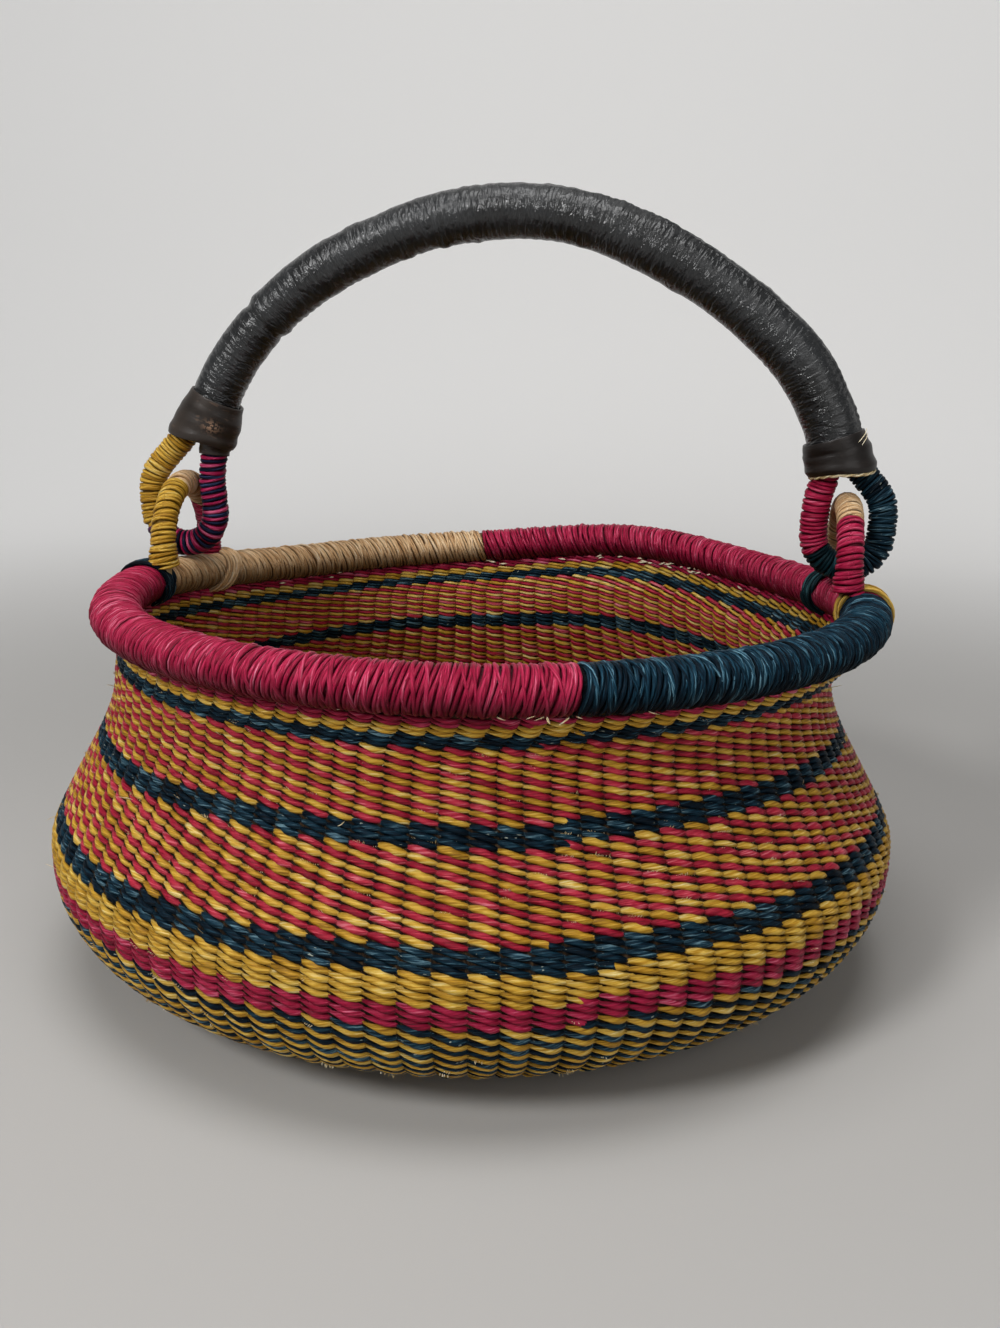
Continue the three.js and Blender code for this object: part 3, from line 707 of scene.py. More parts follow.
        # Each float, outside or inside one stake, has its own tone, thickness and place
        floats = np.floor(phase / math.pi + 0.5).astype(int)
        floats -= floats.min()
        count = floats.max() + 1
        tone = self.chance.uniform(0, 1, count)[floats]
        size = np.clip(self.chance.normal(1, self.size_spread, count), 1 - self.size_limit,
                       1 + self.size_limit)[floats]
        jitter = self.chance.normal(0, self.jitter, count)[floats]
        lean = np.interp(np.mod(stake, self.stakes), np.arange(self.stakes + 1), [*self.lean, self.lean[0]])
        theta = self.jog_angle + (stake + lean) / stakes * TAU
        pitch = pitch * (1 + self.unevenness(theta, arc + 0.5) - self.unevenness(theta, arc - 0.5))
        arc = np.clip(arc + self.unevenness(theta, arc), -0.6, self.profile.line.length)
        point, out, up = self.place(theta, arc)
        face = np.abs(np.cos(phase))
        half_depth, half_height = (least + more * face for least, more in (self.half_depth, self.half_height))
        half_height = pitch * half_height * size
        bulge = self.depth + self.size_bulge * (size - 1)
        depth = bulge * np.sign(np.cos(phase)) * face**self.fullness
        rise = -self.rise_share * pitch * np.sin(phase) + jitter * face
        centre = point + out * depth[:, None] + up * rise[:, None]
        roll = (self.roll * np.clip(point[:, 2] / self.roll_height, 0, 1) * np.sin(phase))[:, None]
        out, up = out * np.cos(roll) + up * np.sin(roll), up * np.cos(roll) - out * np.sin(roll)
        # Floats inside the wall get lighter streaks, as painted light
        tone = tone + self.inside_painted_light * (np.cos(phase) < 0)
        # Painted shade: darker where the strand dives between stakes, and along its two edges
        mesh.add(centre, out, up, half_depth, half_height, tone, shift=which * 31.0,
                 nook=self.nook * (1 - face) ** 1.2, edge=self.edge)
        if frayed > 0:
            self.fray(centre, out, up, half_depth, half_height, np.cos(phase), floats, frayed)

    def fray(self, centre: np.ndarray, out: np.ndarray, up: np.ndarray, half_depth: np.ndarray,
             half_height: np.ndarray, face: np.ndarray, floats: np.ndarray, share: float) -> None:
        """Adds small combs of fibre ends that stand up from some floats.

        Args:
            centre: The strand's centre line.
            out: Outward axes of its section.
            up: The other axes of its section.
            half_depth: Half-sizes of the strand outwards.
            half_height: Half-sizes of the strand up the wall.
            face: 1 where the strand is outside the stakes and -1 where it is inside.
            floats: Number of the float at each point.
            share: Share of the floats that are frayed.
        """
        chance = self.chance
        chosen = chance.uniform(0, 1, floats.max() + 1) < share
        for i in np.nonzero(chosen[floats] & (face > 0.3) & (face < 0.95))[0]:
            if i + 1 >= len(centre) or chance.uniform() < 0.5:
                continue
            run = centre[i + 1] - centre[i]
            side = run / np.linalg.norm(run)
            for step in range(chance.integers(2, 5)):
                root = centre[i] + side * (step * 0.95 + chance.uniform(0, 0.4))
                root = root + up[i] * half_height[i] * 0.7 + out[i] * half_depth[i] * 0.2
                lean = up[i] * chance.uniform(0.5, 1) + out[i] * chance.uniform(0.5, 1.1)
                lean = lean + side * chance.normal(0, 0.3)
                lean *= chance.uniform(1.1, 2.1) / np.linalg.norm(lean)
                line = root + lean * np.array([0.0, 0.55, 1.0])[:, None]
                self.frays.add(line, side, out[i], 0.27, 0.2, chance.uniform(), blunt=True, edge=0.0)

    def add_bands(self) -> None:
        """Makes the straw of every band, one piece a dye."""
        row, arc = 0.0, self.profile.down_to(self.profile.mouth[1]) - 0.6
        end_jogs = [band.jog for band in self.bands[1:]] + [0]
        for band, end_jog in zip(self.bands, end_jogs):
            start = (row, arc)
            arc = self.profile.in_to(band.until) if band.on_base else self.profile.down_to(band.until)
            row += band.rows
            dyes = len(band.straws)
            frayed = 0.0 if band.on_base else self.frayed * dyes / 2
            for number, straw in enumerate(band.straws):
                label = band.name if dyes == 1 else f"{band.name}_{straw.name.lower()}"
                mesh = StrandMesh(f"{label}_weft", band.sides)
                for which in (0, 1) if dyes == 1 else (number,):
                    self.strand(mesh, which, self.stakes, start, (row, arc), (band.jog, end_jog), frayed)
                self.dresser.dress(mesh.build(), straw, Body.BASKET, *band.nodes)
        row = 0.0
        for number, (stakes, rows, radius, node) in enumerate(self.start_rings):
            start = (row, arc)
            row, arc = row + rows, self.profile.in_to(radius)
            mesh = StrandMesh(f"base_start_{number}_weft", sides=5)
            for which in (0, 1):
                self.strand(mesh, which, stakes, start, (row, arc), (0, 0))
            self.dresser.dress(mesh.build(), Straw.YELLOW, Body.BASKET, node)

    def add_strays(self) -> None:
        """Adds single straws whose ends have worked loose from the wall."""
        chance = self.chance
        t = np.linspace(0, 1, 6)[:, None]
        for _ in range(self.strays):
            theta, arc = np.array([chance.uniform(0, TAU)]), np.array([chance.uniform(12, 120)])
            (root,), (out,), (up,) = self.place(theta, arc)
            run = np.cross(up, out)
            lean = out * chance.uniform(0.5, 1.0) + up * chance.normal(0.3, 0.5)
            lean = lean + run * chance.normal(0, 0.8)
            lean *= chance.uniform(4, 11) / np.linalg.norm(lean)
            line = root + out * 1.6 + lean * t + up * (t * t) * chance.normal(0, 1.5)
            self.frays.add(line, run, up, 0.28, 0.2, 0.8, edge=0.0)

    def add_stitches(self) -> None:
        """Adds the undyed bits that show inside, where the rim is sewn on."""
        chance = self.chance
        for middle, spread, count in self.stitches:
            for _ in range(count):
                theta = np.array([math.radians(chance.normal(middle, spread))])
                (root,), (out,), (up,) = self.place(theta, np.array([chance.uniform(0.4, 3.4)]))
                run = np.cross(up, out) + up * chance.normal(0, 0.25)
                t = np.linspace(-0.5, 0.5, 5)[:, None] * chance.uniform(2.2, 5.5)
                line = root - out * (2.9 - 0.09 * t * t) + run * t
                self.frays.add(line, out, up, 0.5, 0.6, 0.9, edge=0.0)

    def add_stakes(self) -> None:
        """Makes the upright stakes that the weft hides.

        Each has a round core, and a flat web that fills most of the way to the next one. The web
        and their dark colour are painted shade, which closes the gaps between the floats.
        """
        mesh = StrandMesh("stakes")
        arc = np.linspace(-6.0, self.profile.in_to(6.0), 56)
        web_share, web_half_depth, core_half_depth, core_half_width = 0.78, 0.3, 0.62, 1.3
        gap = np.maximum(self.profile.line.at(arc)[0][:, 0], 3.0) * TAU / self.stakes
        spread = gap * web_share
        for i in range(self.stakes):
            angle = self.jog_angle + (i + 1 + self.lean[i]) / self.stakes * TAU
            theta = np.full_like(arc, angle)
            point, out, _ = self.place(theta, arc)
            side = np.stack([-np.sin(theta), np.cos(theta), 0 * theta], axis=-1)
            tone = float(self.chance.uniform())
            mesh.add(point, out, side, web_half_depth, spread, tone, edge=0.0)
            mesh.add(point, out, side, core_half_depth, np.minimum(core_half_width, spread), tone)
        self.dresser.dress(mesh.build(), Straw.STAKE, Body.BASKET)

    def build(self) -> None:
        """Makes the whole wall."""
        self.add_bands()
        self.add_strays()
        self.add_stitches()
        self.dresser.dress(self.frays.build(), Straw.NATURAL, Body.BASKET)
        self.add_stakes()


@dataclass(frozen=True)
class Winding:
    """How straw is wound round a bundle.

    The half-sizes are those of the finished winding. Turns follow each other at the pitch, lean
    by the slant, stray by the wander, a share of the pitch, and lie over each other by the
    layers. The fill is a strand's half-width as a share of the pitch, the play is how far it
    may pass its ends, and the shade is how much painted shade darkens its underside. Several
    strands side by side are its starts. The axis is the world axis that the section's height
    follows.
    """

    half_width: float
    half_height: float
    thickness: float
    pitch: float = 1.9
    slant: float = 0.0
    per_turn: int = 14
    starts: int = 1
    wander: float = 0.3
    layers: float = 0.22
    fill: float = 0.5
    play: float = 0.4
    shade: float = 0.0
    axis: tuple[float, float, float] = (0.0, 0.0, 1.0)


class Winder:
    """Winds strands round a line."""

    # Frequencies that share no multiple, and their weights
    TUNES = ((0.38, 1.0), (0.59, 0.9), (1.27, 0.7), (1.71, 0.5), (2.43, 0.35))

    def __init__(self, seed: int) -> None:
        self.chance = np.random.default_rng(seed)

    def ramble(self, angle: np.ndarray) -> np.ndarray:
        """Gives a smooth chance run of about -1 to 1, unlike from one turn to the next."""
        waves = (weight * np.sin(tune * angle + self.chance.uniform(0, TAU))
                 for tune, weight in self.TUNES)
        return sum(waves) / 1.7

    def wind(self, mesh: StrandMesh, line: Line, winding: Winding, start: float, end: float,
             which: int = 0, flare: float = 0.0) -> None:
        """Winds one strand from start to end.

        Args:
            mesh: Takes the strand.
            line: The middle of the bundle.
            winding: How it is wound.
            start: Distance along the line where it starts.
            end: Where it ends.
            which: Number of the strand, where several run side by side.
            flare: How much wider the winding is at its start, as a share.
        """
        lay = winding.pitch * winding.starts
        turns = (end - start) / lay
        samples = max(8, int(turns * winding.per_turn))
        t = np.linspace(0, 1, samples)
        angle = t * turns * TAU + which / winding.starts * TAU
        index = np.floor(angle / TAU).astype(int)
        index -= index.min()
        tone = self.chance.uniform(0, 1, index.max() + 2)[index]
        wander = self.ramble(angle) * winding.wander * winding.pitch
        layer = self.ramble(angle) * winding.layers
        thick = 1 + 0.1 * self.ramble(angle)
        distance = start + t * (end - start) + wander + winding.slant * np.sin(angle)
        distance = np.clip(distance, start - winding.play, end + winding.play)
        point, along = line.at(distance)
        across, side = section(along, winding.axis)
        wide = 1 + flare * (1 - smoothstep(distance - start, 0, 14))
        width, height = ((half - winding.thickness / 2) * wide + layer
                         for half in (winding.half_width, winding.half_height))
        centre = point + across * (np.cos(angle) * width)[:, None] + side * (np.sin(angle) * height)[:, None]
        # Turns spread out where the line bends away from them
        turn = min(winding.per_turn, samples - 1)
        step = np.linalg.norm(centre[turn:] - centre[:-turn], axis=1) / lay
        step = np.clip(np.concatenate([step, np.full(turn, step[-1])]), 0.9, 1.5)
        out = across * (np.cos(angle) / width)[:, None] + side * (np.sin(angle) / height)[:, None]
        out /= np.linalg.norm(out, axis=1, keepdims=True)
        # Painted shade on the underside of each turn, and on its two edges
        nook = winding.shade * smoothstep(-np.sin(angle), -0.5, 0.7)
        half_width = winding.pitch * winding.fill * thick * step
        mesh.add(centre, out, along, winding.thickness / 2 * thick, half_width, tone,
                 shift=which * 17.0, nook=nook, edge=0.85)

    @staticmethod
    def bed(mesh: StrandMesh, line: Line, winding: Winding, start: float, end: float) -> None:
        """Adds the closed first layer that shows between the turns, painted dark as the shade there.

        Args:
            mesh: Takes the layer.
            line: The middle of the bundle.
            winding: How the turns above it are wound.
            start: Distance along the line where it starts.
            end: Where it ends.
        """
        middle = np.linspace(start, end, max(6, int((end - start) / 3)))[1:-1]
        distance = np.array([start, start + 0.02, *middle, end - 0.02, end])
        point, along = line.at(distance)
        across, side = section(along, winding.axis)
        inset = winding.thickness * 0.72
        # Painted shade: a low tone, and mostly the shade colour
        mesh.add(point, across, side, winding.half_width - inset, winding.half_height - inset, 0.15,
                 blunt=True, nook=0.8)


@dataclass
class Rim:
    """The whipped rim."""

    dresser: Dresser
    # Each whipping: its name, dye, and where it starts and ends, in degrees
    wraps: tuple[tuple, ...] = (
        ("rim_magenta_back", Straw.MAGENTA, -1.5, 101.0),
        ("rim_tan_back", Straw.TAN, 101.0, 181.5),
        ("rim_magenta_front", Straw.MAGENTA, 181.5, 289.0),
        ("rim_teal_front", Straw.RIM_TEAL, 289.0, 358.5),
    )
    loose_ends: tuple[float, ...] = (284.4, 285.2, 286.0, 287.6, 288.4, 279.6, 262.0, 297.0, 325.0, 20.0,
                                     75.0, 150.0)
    # The shade darkens each turn's underside as painted shade
    winding: Winding = Winding(RIM_HALF_WIDTH, RIM_HALF_HEIGHT, 2.1, pitch=2.05, slant=3.0, per_turn=18,
                               wander=0.19, layers=0.2, fill=0.48, shade=0.8)
    seed: int = 11
    crossing_lift: float = 0.25

    def build(self) -> None:
        """Makes the four whippings, each with a sparse strand that crosses its turns."""
        winder = Winder(self.seed)
        crossing = replace(self.winding, half_width=RIM_HALF_WIDTH + self.crossing_lift,
                           half_height=RIM_HALF_HEIGHT + self.crossing_lift, pitch=3.9, slant=0.6,
                           wander=0.5, layers=0.35, fill=0.2)
        for name, straw, start, end in self.wraps:
            line = rim_line(math.radians(start), math.radians(end), 300)
            mesh = StrandMesh(f"{name}_whipping", sides=8)
            winder.bed(mesh, line, self.winding, 0.0, line.length)
            winder.wind(mesh, line, self.winding, 0.2, line.length - 0.2)
            winder.wind(mesh, line, crossing, 3.0, line.length - 3.0, which=1)
            self.dresser.dress(mesh.build(), straw, Body.BASKET, f"{name}_wrap")
        self.add_ends(winder.chance)

    def add_ends(self, chance: np.random.Generator) -> None:
        """Adds the undyed ends that poke out under the rim.

        Args:
            chance: Where their places and bends come from.
        """
        mesh = StrandMesh("rim_loose_ends", sides=5)
        t = np.linspace(0, 1, 6)[:, None]
        for degrees in self.loose_ends:
            theta = math.radians(degrees + chance.normal(0, 0.3))
            radial = np.array([math.cos(theta), math.sin(theta), 0.0])
            run = np.array([-math.sin(theta), math.cos(theta), 0.0])
            dip = chance.uniform(0.75, 1.0)
            root = rim_line(theta, theta + 0.01, 2).points[0] + radial * RIM_HALF_WIDTH * math.cos(dip)
            root = root - np.array([0.0, 0.0, RIM_HALF_HEIGHT * math.sin(dip)])
            lean = radial * 0.6 + run * chance.normal(0, 0.7)
            lean = lean - np.array([0.0, 0.0, chance.uniform(-0.2, 0.8)])
            line = root + lean * chance.uniform(1.6, 3.4) * t + run * (t * t) * chance.normal(0, 1.4)
            mesh.add(line, run, radial, 0.5, 0.4, 0.9, edge=0.0)
        self.dresser.dress(mesh.build(), Straw.NATURAL, Body.BASKET)


@dataclass(frozen=True)
class Stretch:
    """One colour of whipping on a loop, from the last one's end to a share of its length."""

    name: str
    until: float
    straws: tuple[Straw, ...]


@dataclass(frozen=True)
class Link:
    """One end's link: an eye of the handle through a ring on the rim.

    The side is -1 for the left. Offsets count from the rim's middle along the handle, and the
    setback across it. At its knees the eye's legs bend in towards the grip. The turn is the
    ring's, away from square to the handle, in degrees.
    """

    name: str
    side: int
    offset: float
    eye_half_width: float
    eye_top_half_width: float
    knee_rise: float
    ring_offset: float
    ring_setback: float
    ring_half_width: float
    ring_rise: float
    ring_turn: float
    eye_stretches: tuple[Stretch, ...]
    ring_stretches: tuple[Stretch, ...]

    def ring_line(self) -> Line:
        """Gives the middle line of the ring, from its front foot to its rear one."""
        turn = math.radians(self.ring_turn) * self.side
        shin = (RIM_HEIGHT + PIVOT_HEIGHT) / 2
        half = self.ring_half_width
        reach = [(-half, RIM_HEIGHT), (-half, shin)]
        reach += [(-half * math.cos(angle), PIVOT_HEIGHT + self.ring_rise * math.sin(angle))
                  for angle in np.linspace(0, math.pi, 11)]
        reach += [(half, shin), (half, RIM_HEIGHT)]
        return smooth_line([(RIM_SHIFT + self.side * self.ring_offset - r * math.sin(turn),
                             self.ring_setback + r * math.cos(turn), z) for r, z in reach])


LINKS = (
    Link("left", -1, 166.0, 16.5, 8.0, 34.0, 164.8, 28.0, 32.0, 31.6, -1.5,
         (Stretch("yellow", 0.42, (Straw.YELLOW,)), Stretch("purple", 0.5, (Straw.PURPLE,)),
          Stretch("candy", 1.0, (Straw.CANDY, Straw.NAVY))),
         (Stretch("yellow", 0.42, (Straw.YELLOW,)), Stretch("tan", 0.7, (Straw.TAN,)),
          Stretch("magenta", 1.0, (Straw.MAGENTA,)))),
    Link("right", 1, 166.2, 15.6, 7.3, 32.0, 165.5, 29.5, 30.0, 29.6, -0.8,
         (Stretch("teal", 0.5, (Straw.TEAL,)), Stretch("dark_teal", 0.66, (Straw.DARK_TEAL,)),
          Stretch("magenta", 1.0, (Straw.MAGENTA,))),
         (Stretch("magenta", 0.34, (Straw.MAGENTA,)), Stretch("tan", 1.0, (Straw.TAN,)))),
)


@dataclass(frozen=True)
class Cuff:
    """A leather cuff over an eye's legs, with its half-widths from its mouth up to its neck."""

    name: str
    side: int
    hide: Hide
    height: float
    mouth: float
    bulge: float
    neck: float

    def slope(self, angle: np.ndarray) -> np.ndarray:
        """Gives how far the lower edge is shifted along the grip, round the cuff."""
        return -2.6 * self.side * np.cos(angle) + 0.5 * np.sin(3 * angle + self.side)


@dataclass
class Grip:
    """The leather-bound handle, a flat arch over the links."""

    dresser: Dresser
    seed: int = 5
    left_span: float = 155.0
    right_span: float = 161.0
    rise: float = 162.3
    left_end: float = 54.1
    right_end: float = 47.1
    # Points of the arch between its ends, as shares of span and rise
    left_shares: tuple[tuple[float, float], ...] = ((0.896, 0.542), (0.765, 0.693), (0.601, 0.817),
                                                    (0.42, 0.904), (0.22, 0.972))
    right_shares: tuple[tuple[float, float], ...] = ((0.03, 1.0), (0.235, 0.975), (0.408, 0.912),
                                                     (0.572, 0.826), (0.726, 0.717), (0.862, 0.59),
                                                     (0.95, 0.443))
    # Radius of the sleeve at its left end, its middle and its right end
    radii: tuple[float, ...] = (11.6, 12.4, 13.2)
    cuff_depth: float = 13.8
    cuffs: tuple[Cuff, ...] = (Cuff("left", -1, Hide.BROWN, 21.0, 16.9, 16.6, 13.6),
                               Cuff("right", 1, Hide.CUFF, 14.0, 15.6, 16.0, 14.3))
    # Knots of straw that push the sleeve out: share of its length, angle, height and reach
    lumps: tuple[tuple[float, ...], ...] = (
        (0.41, -0.25, 1.3, 3.4), (0.36, -0.1, 0.9, 3.0), (0.45, 0.2, 0.7, 3.0), (0.25, -0.4, 0.7, 4.0),
        (0.58, -0.3, 0.6, 4.0), (0.7, 0.1, 0.7, 4.0), (0.83, -0.5, 0.6, 4.0), (0.31, 3.3, 0.6, 5.0),
        (0.54, 3.0, 0.5, 6.0), (0.66, 3.6, 0.7, 5.0), (0.79, 3.2, 0.6, 5.0))
    # Stitches of the right cuff: height of their upper end, length, and the angles of both ends
    threads: tuple[tuple[float, ...], ...] = ((17.0, 4.6, 6.15, 5.35), (15.0, 4.4, 6.15, 5.45),
                                              (10.6, 3.0, 6.0, 5.6))

    def __post_init__(self) -> None:
        self.chance = np.random.default_rng(self.seed)
        shares = [(-self.left_span, self.left_end)]
        shares += [(-self.left_span * x, self.rise * z) for x, z in self.left_shares]
        shares += [(self.right_span * x, self.rise * z) for x, z in self.right_shares]
        shares.append((self.right_span, self.right_end))
        self.line = smooth_line([(RIM_SHIFT + x, LINK_SETBACK, PIVOT_HEIGHT + z) for x, z in shares],
                                per_span=40)

    def end(self, side: int) -> tuple[np.ndarray, np.ndarray]:
        """Gives the tip of one end and the direction from it into the handle."""
        place = self.line.points[0 if side < 0 else -1]
        nearby = self.line.at(np.array([0.5 if side < 0 else self.line.length - 0.5]))[0][0]
        inward = nearby - place
        return place, inward / np.linalg.norm(inward)

    @staticmethod
    def oval(line: Line, distance: np.ndarray, angle: np.ndarray, width: np.ndarray,
             depth: np.ndarray) -> tuple[np.ndarray, ...]:
        """Finds points on an oval round a line.

        Args:
            line: The line.
            distance: Where they lie along it.
            angle: Where they lie round it.
            width: Half-widths of the oval in the handle's plane.
            depth: Its half-depths across it.

        Returns:
            The points, the outward directions and the directions along the line.
        """
        point, along = line.at(distance)
        across, side = section(along, (0.0, 1.0, 0.0))
        reach = across * (np.cos(angle) * width)[:, None] + side * (np.sin(angle) * depth)[:, None]
        return point + reach, reach / np.linalg.norm(reach, axis=1, keepdims=True), along

    @staticmethod
    def skin(name: str, line: Line, distance: np.ndarray, half_width: np.ndarray, half_depth: np.ndarray,
             thickness: float, relief: np.ndarray, shear: np.ndarray | float = 0.0,
             scuff: np.ndarray | float = 0.0) -> bpy.types.Object:
        """Makes a sleeve of leather with its thickness turned in at both ends.

        Args:
            name: Name of the piece.
            line: Its middle line.
            distance: Where its rings lie along the line.
            half_width: Their half-width in the handle's plane.
            half_depth: Their half-depth across it.
            thickness: Of the leather.
            relief: Height of the wrinkles, one row a ring.
            shear: How far each point is moved along the line, one row a ring.
            scuff: How far the finish is rubbed off, one row a ring.

        Returns:
            The mesh object.
        """
        point, along = line.at(distance)
        across, side = section(along, (0.0, 1.0, 0.0))
        sides = relief.shape[1]
        angle = np.arange(sides) / sides * TAU
        shift = along[:, None] * np.broadcast_to(shear, relief.shape)[..., None]
        outer, inner = (
            point[:, None] + shift
            + across[:, None] * (np.cos(angle) * (half_width[:, None] - inset + bumps))[..., None]
            + side[:, None] * (np.sin(angle) * (half_depth[:, None] - inset + bumps))[..., None]
            for inset, bumps in ((0.0, relief), (thickness, 0 * relief)))
        ends = (inner + outer) / 2
        rings = np.concatenate([inner[2:0:-1], ends[:1], outer, ends[-1:], inner[-2:-4:-1]])
        rubbed = np.zeros(rings.shape[:2])
        rubbed[3:-3] = scuff
        mesh = StrandMesh(name)
        mesh.add_tube(rings, run_lengths(rings[:, 0]), TAU * float(half_width.mean()) / sides, 0.5, rubbed,
                      turned=True)
        return mesh.build()

    def waves(self, run: np.ndarray, angle: np.ndarray, pitch: float, size: float) -> np.ndarray:
        """Gives wrinkles across the grip that come and go around it.

        Args:
            run: Distances along the grip.
            angle: Angles round it.
            pitch: Rough distance from one wrinkle to the next.
            size: Their rough height.

        Returns:
            The heights, one row a distance.
        """
        total = np.zeros((len(run), len(angle)))
        for _ in range(26):
            length = pitch * self.chance.uniform(0.7, 1.8)
            twist = self.chance.normal(0, 1.1)
            where = self.chance.uniform(0, TAU)
            envelope = bell(run, self.chance.uniform(run[0], run[-1]), self.chance.uniform(10, 60))[:, None]
            around = 0.5 + 0.5 * np.cos(angle - where)[None]
            total += envelope * around * np.sin(run[:, None] / length * TAU + twist * np.cos(angle)[None])
        return total * size

    def add_sleeve(self) -> None:
        """Makes the sleeve, its crease at the left, its lumps and its seam at the right."""
        distance = np.arange(11.0, self.line.length - 11.0, 0.9)
        sides = 72
        angle = np.arange(sides) / sides * TAU
        share = distance / self.line.length
        radius = np.interp(share, [0, 0.5, 1], self.radii) + 0.25 * np.sin(share * 31.0)
        relief = self.waves(distance, angle, 3.6, 0.1) + self.waves(distance, angle, 15.0, 0.1)
        # One piece of leather ends in a crease, with the lip of the next beside it
        relief += (0.6 * bell(share, 0.176, 0.008) - 0.9 * bell(share, 0.165, 0.006))[:, None]
        for where, around, height, reach in self.lumps:
            turned = np.mod(angle - around + math.pi, TAU) - math.pi
            relief += (height * bell(distance, where * self.line.length, reach)[:, None]
                       * bell(turned * 12.4, 0.0, reach)[None])
        # The right half has its seam a little in front of the top: a lip beside a groove, puckered
        # by stitches 3.4 mm apart
        lip = 3.62 + 0.12 * np.sin(distance / 23.0)[:, None]
        turned = (angle[None] - lip) / 0.07
        seam = bell(turned, 0.0, 1.0) - 0.9 * bell(turned, -1.9, 1.0)
        seam = seam * smoothstep(share, 0.5, 0.62)[:, None]
        relief += 0.7 * seam * (1 + 0.25 * np.sin(distance / 3.4 * TAU))[:, None]
        piece = self.skin("grip_leather", self.line, distance, radius, radius, 2.0, relief)
        self.dresser.dress(piece, Hide.BLACK, Body.HANDLE, "leather_sleeve")

    def add_cuffs(self) -> None:
        """Makes the cuffs over the eyes' legs."""
        for cuff in self.cuffs:
            tip, inward = self.end(cuff.side)
            line = Line(np.array([tip - inward * (1.5 + 0.5 * cuff.side), tip + inward * (cuff.height + 1)]))
            distance = np.linspace(0.0, line.length, 34)
            share = distance / line.length
            angle = np.arange(64) / 64 * TAU
            width = np.interp(share, [0, 0.15, 0.5, 0.85, 1.0],
                              [cuff.mouth, (cuff.mouth + cuff.bulge) / 2 + 0.3, cuff.bulge, cuff.neck + 0.6,
                               cuff.neck])
            depth = np.interp(share, [0, 0.4, 1.0], [self.cuff_depth, 14.6, cuff.neck])
            relief = self.waves(distance, angle, 9.0, 0.06)
            relief += 0.4 * bell(share, 0.62, 0.07)[:, None] * np.cos(angle * 2 + 0.6)[None]
            shear = (1 - share)[:, None] * cuff.slope(angle)[None]
            front = bell(np.cos(angle), 0.4, 0.2) * (np.sin(angle) < 0) * (cuff.side < 0)
            scuff = bell(share, 0.45, 0.12)[:, None] * front[None]
            piece = self.skin(f"{cuff.name}_cuff_leather", line, distance, width, depth, 1.8, relief, shear,
                              scuff)
            self.dresser.dress(piece, cuff.hide, Body.HANDLE, f"{cuff.name}_cuff")
            if cuff.side > 0:
                self.add_binding(line, cuff)
                self.add_threads(line, cuff)

    def add_binding(self, line: Line, cuff: Cuff) -> None:
        """Makes the twist of undyed straw that finishes the lower edge of a cuff.

        Args:
            line: The cuff's middle line.
            cuff: The cuff.
        """
        angle = np.linspace(0, TAU, 120)
        mesh = StrandMesh("cuff_edge_twist", sides=8)
        for which in (0.0, math.pi):
            twist = angle * 9 + which
            width = cuff.mouth - 1.0 + 0.45 * np.cos(twist)
            drop = cuff.slope(angle) - 0.5 + 0.45 * np.sin(twist)
            depth = width - cuff.mouth + self.cuff_depth
            centre, out, along = self.oval(line, 0 * angle, angle, width, depth)
            mesh.add(centre + along * drop[:, None], out, along, 0.62, 0.62, 0.6, shift=which * 9, edge=0.3)
        self.dresser.dress(mesh.build(), Straw.NATURAL, Body.HANDLE)

    def add_threads(self, line: Line, cuff: Cuff) -> None:
        """Makes the pale stitches at the upper edge of a cuff.

        Args:
            line: The cuff's middle line.
            cuff: The cuff.
        """
        mesh = StrandMesh("cuff_stitches", sides=5)
        t = np.linspace(0, 1, 10)
        width = np.full(10, cuff.bulge * 0.93 + 0.5)
        for top, drop, edge, face in self.threads:
            centre, out, along = self.oval(line, top - drop * (1 - t), face + (edge - face) * t, width,
                                           width - 0.9)
            mesh.add(centre, out, along, 0.2, 0.22, 0.9, edge=0.0)
        self.dresser.dress(mesh.build(), Straw.NATURAL, Body.HANDLE)

    def add_collar(self, eye: Line, tuck: float, radius: float) -> None:
        """Makes the scrap of leather that is wound round the inner leg of an eye, under the cuff.

        Args:
            eye: The eye's middle line, which ends in that leg.
            tuck: Length of the leg inside the grip.
            radius: Radius of its whipping.
        """
        count = 16
        distance = np.linspace(tuck - 4, tuck + 5.0, count)
        angle = np.arange(48) / 48 * TAU
        relief = self.waves(distance, angle, 5.0, 0.08)
        width = radius + 0.9 + np.linspace(0.6, 0, count)
        shear = 0.8 * np.sin(angle + 1)[None] * np.linspace(0, 1, count)[:, None]
        piece = self.skin("eye_collar_leather", Line(eye.points[::-1]), distance, width, width, 1.0, relief,
                          shear)
        self.dresser.dress(piece, Hide.BROWN, Body.HANDLE)

    def build(self) -> None:
        """Makes sleeve and cuffs."""
        self.add_sleeve()
        self.add_cuffs()


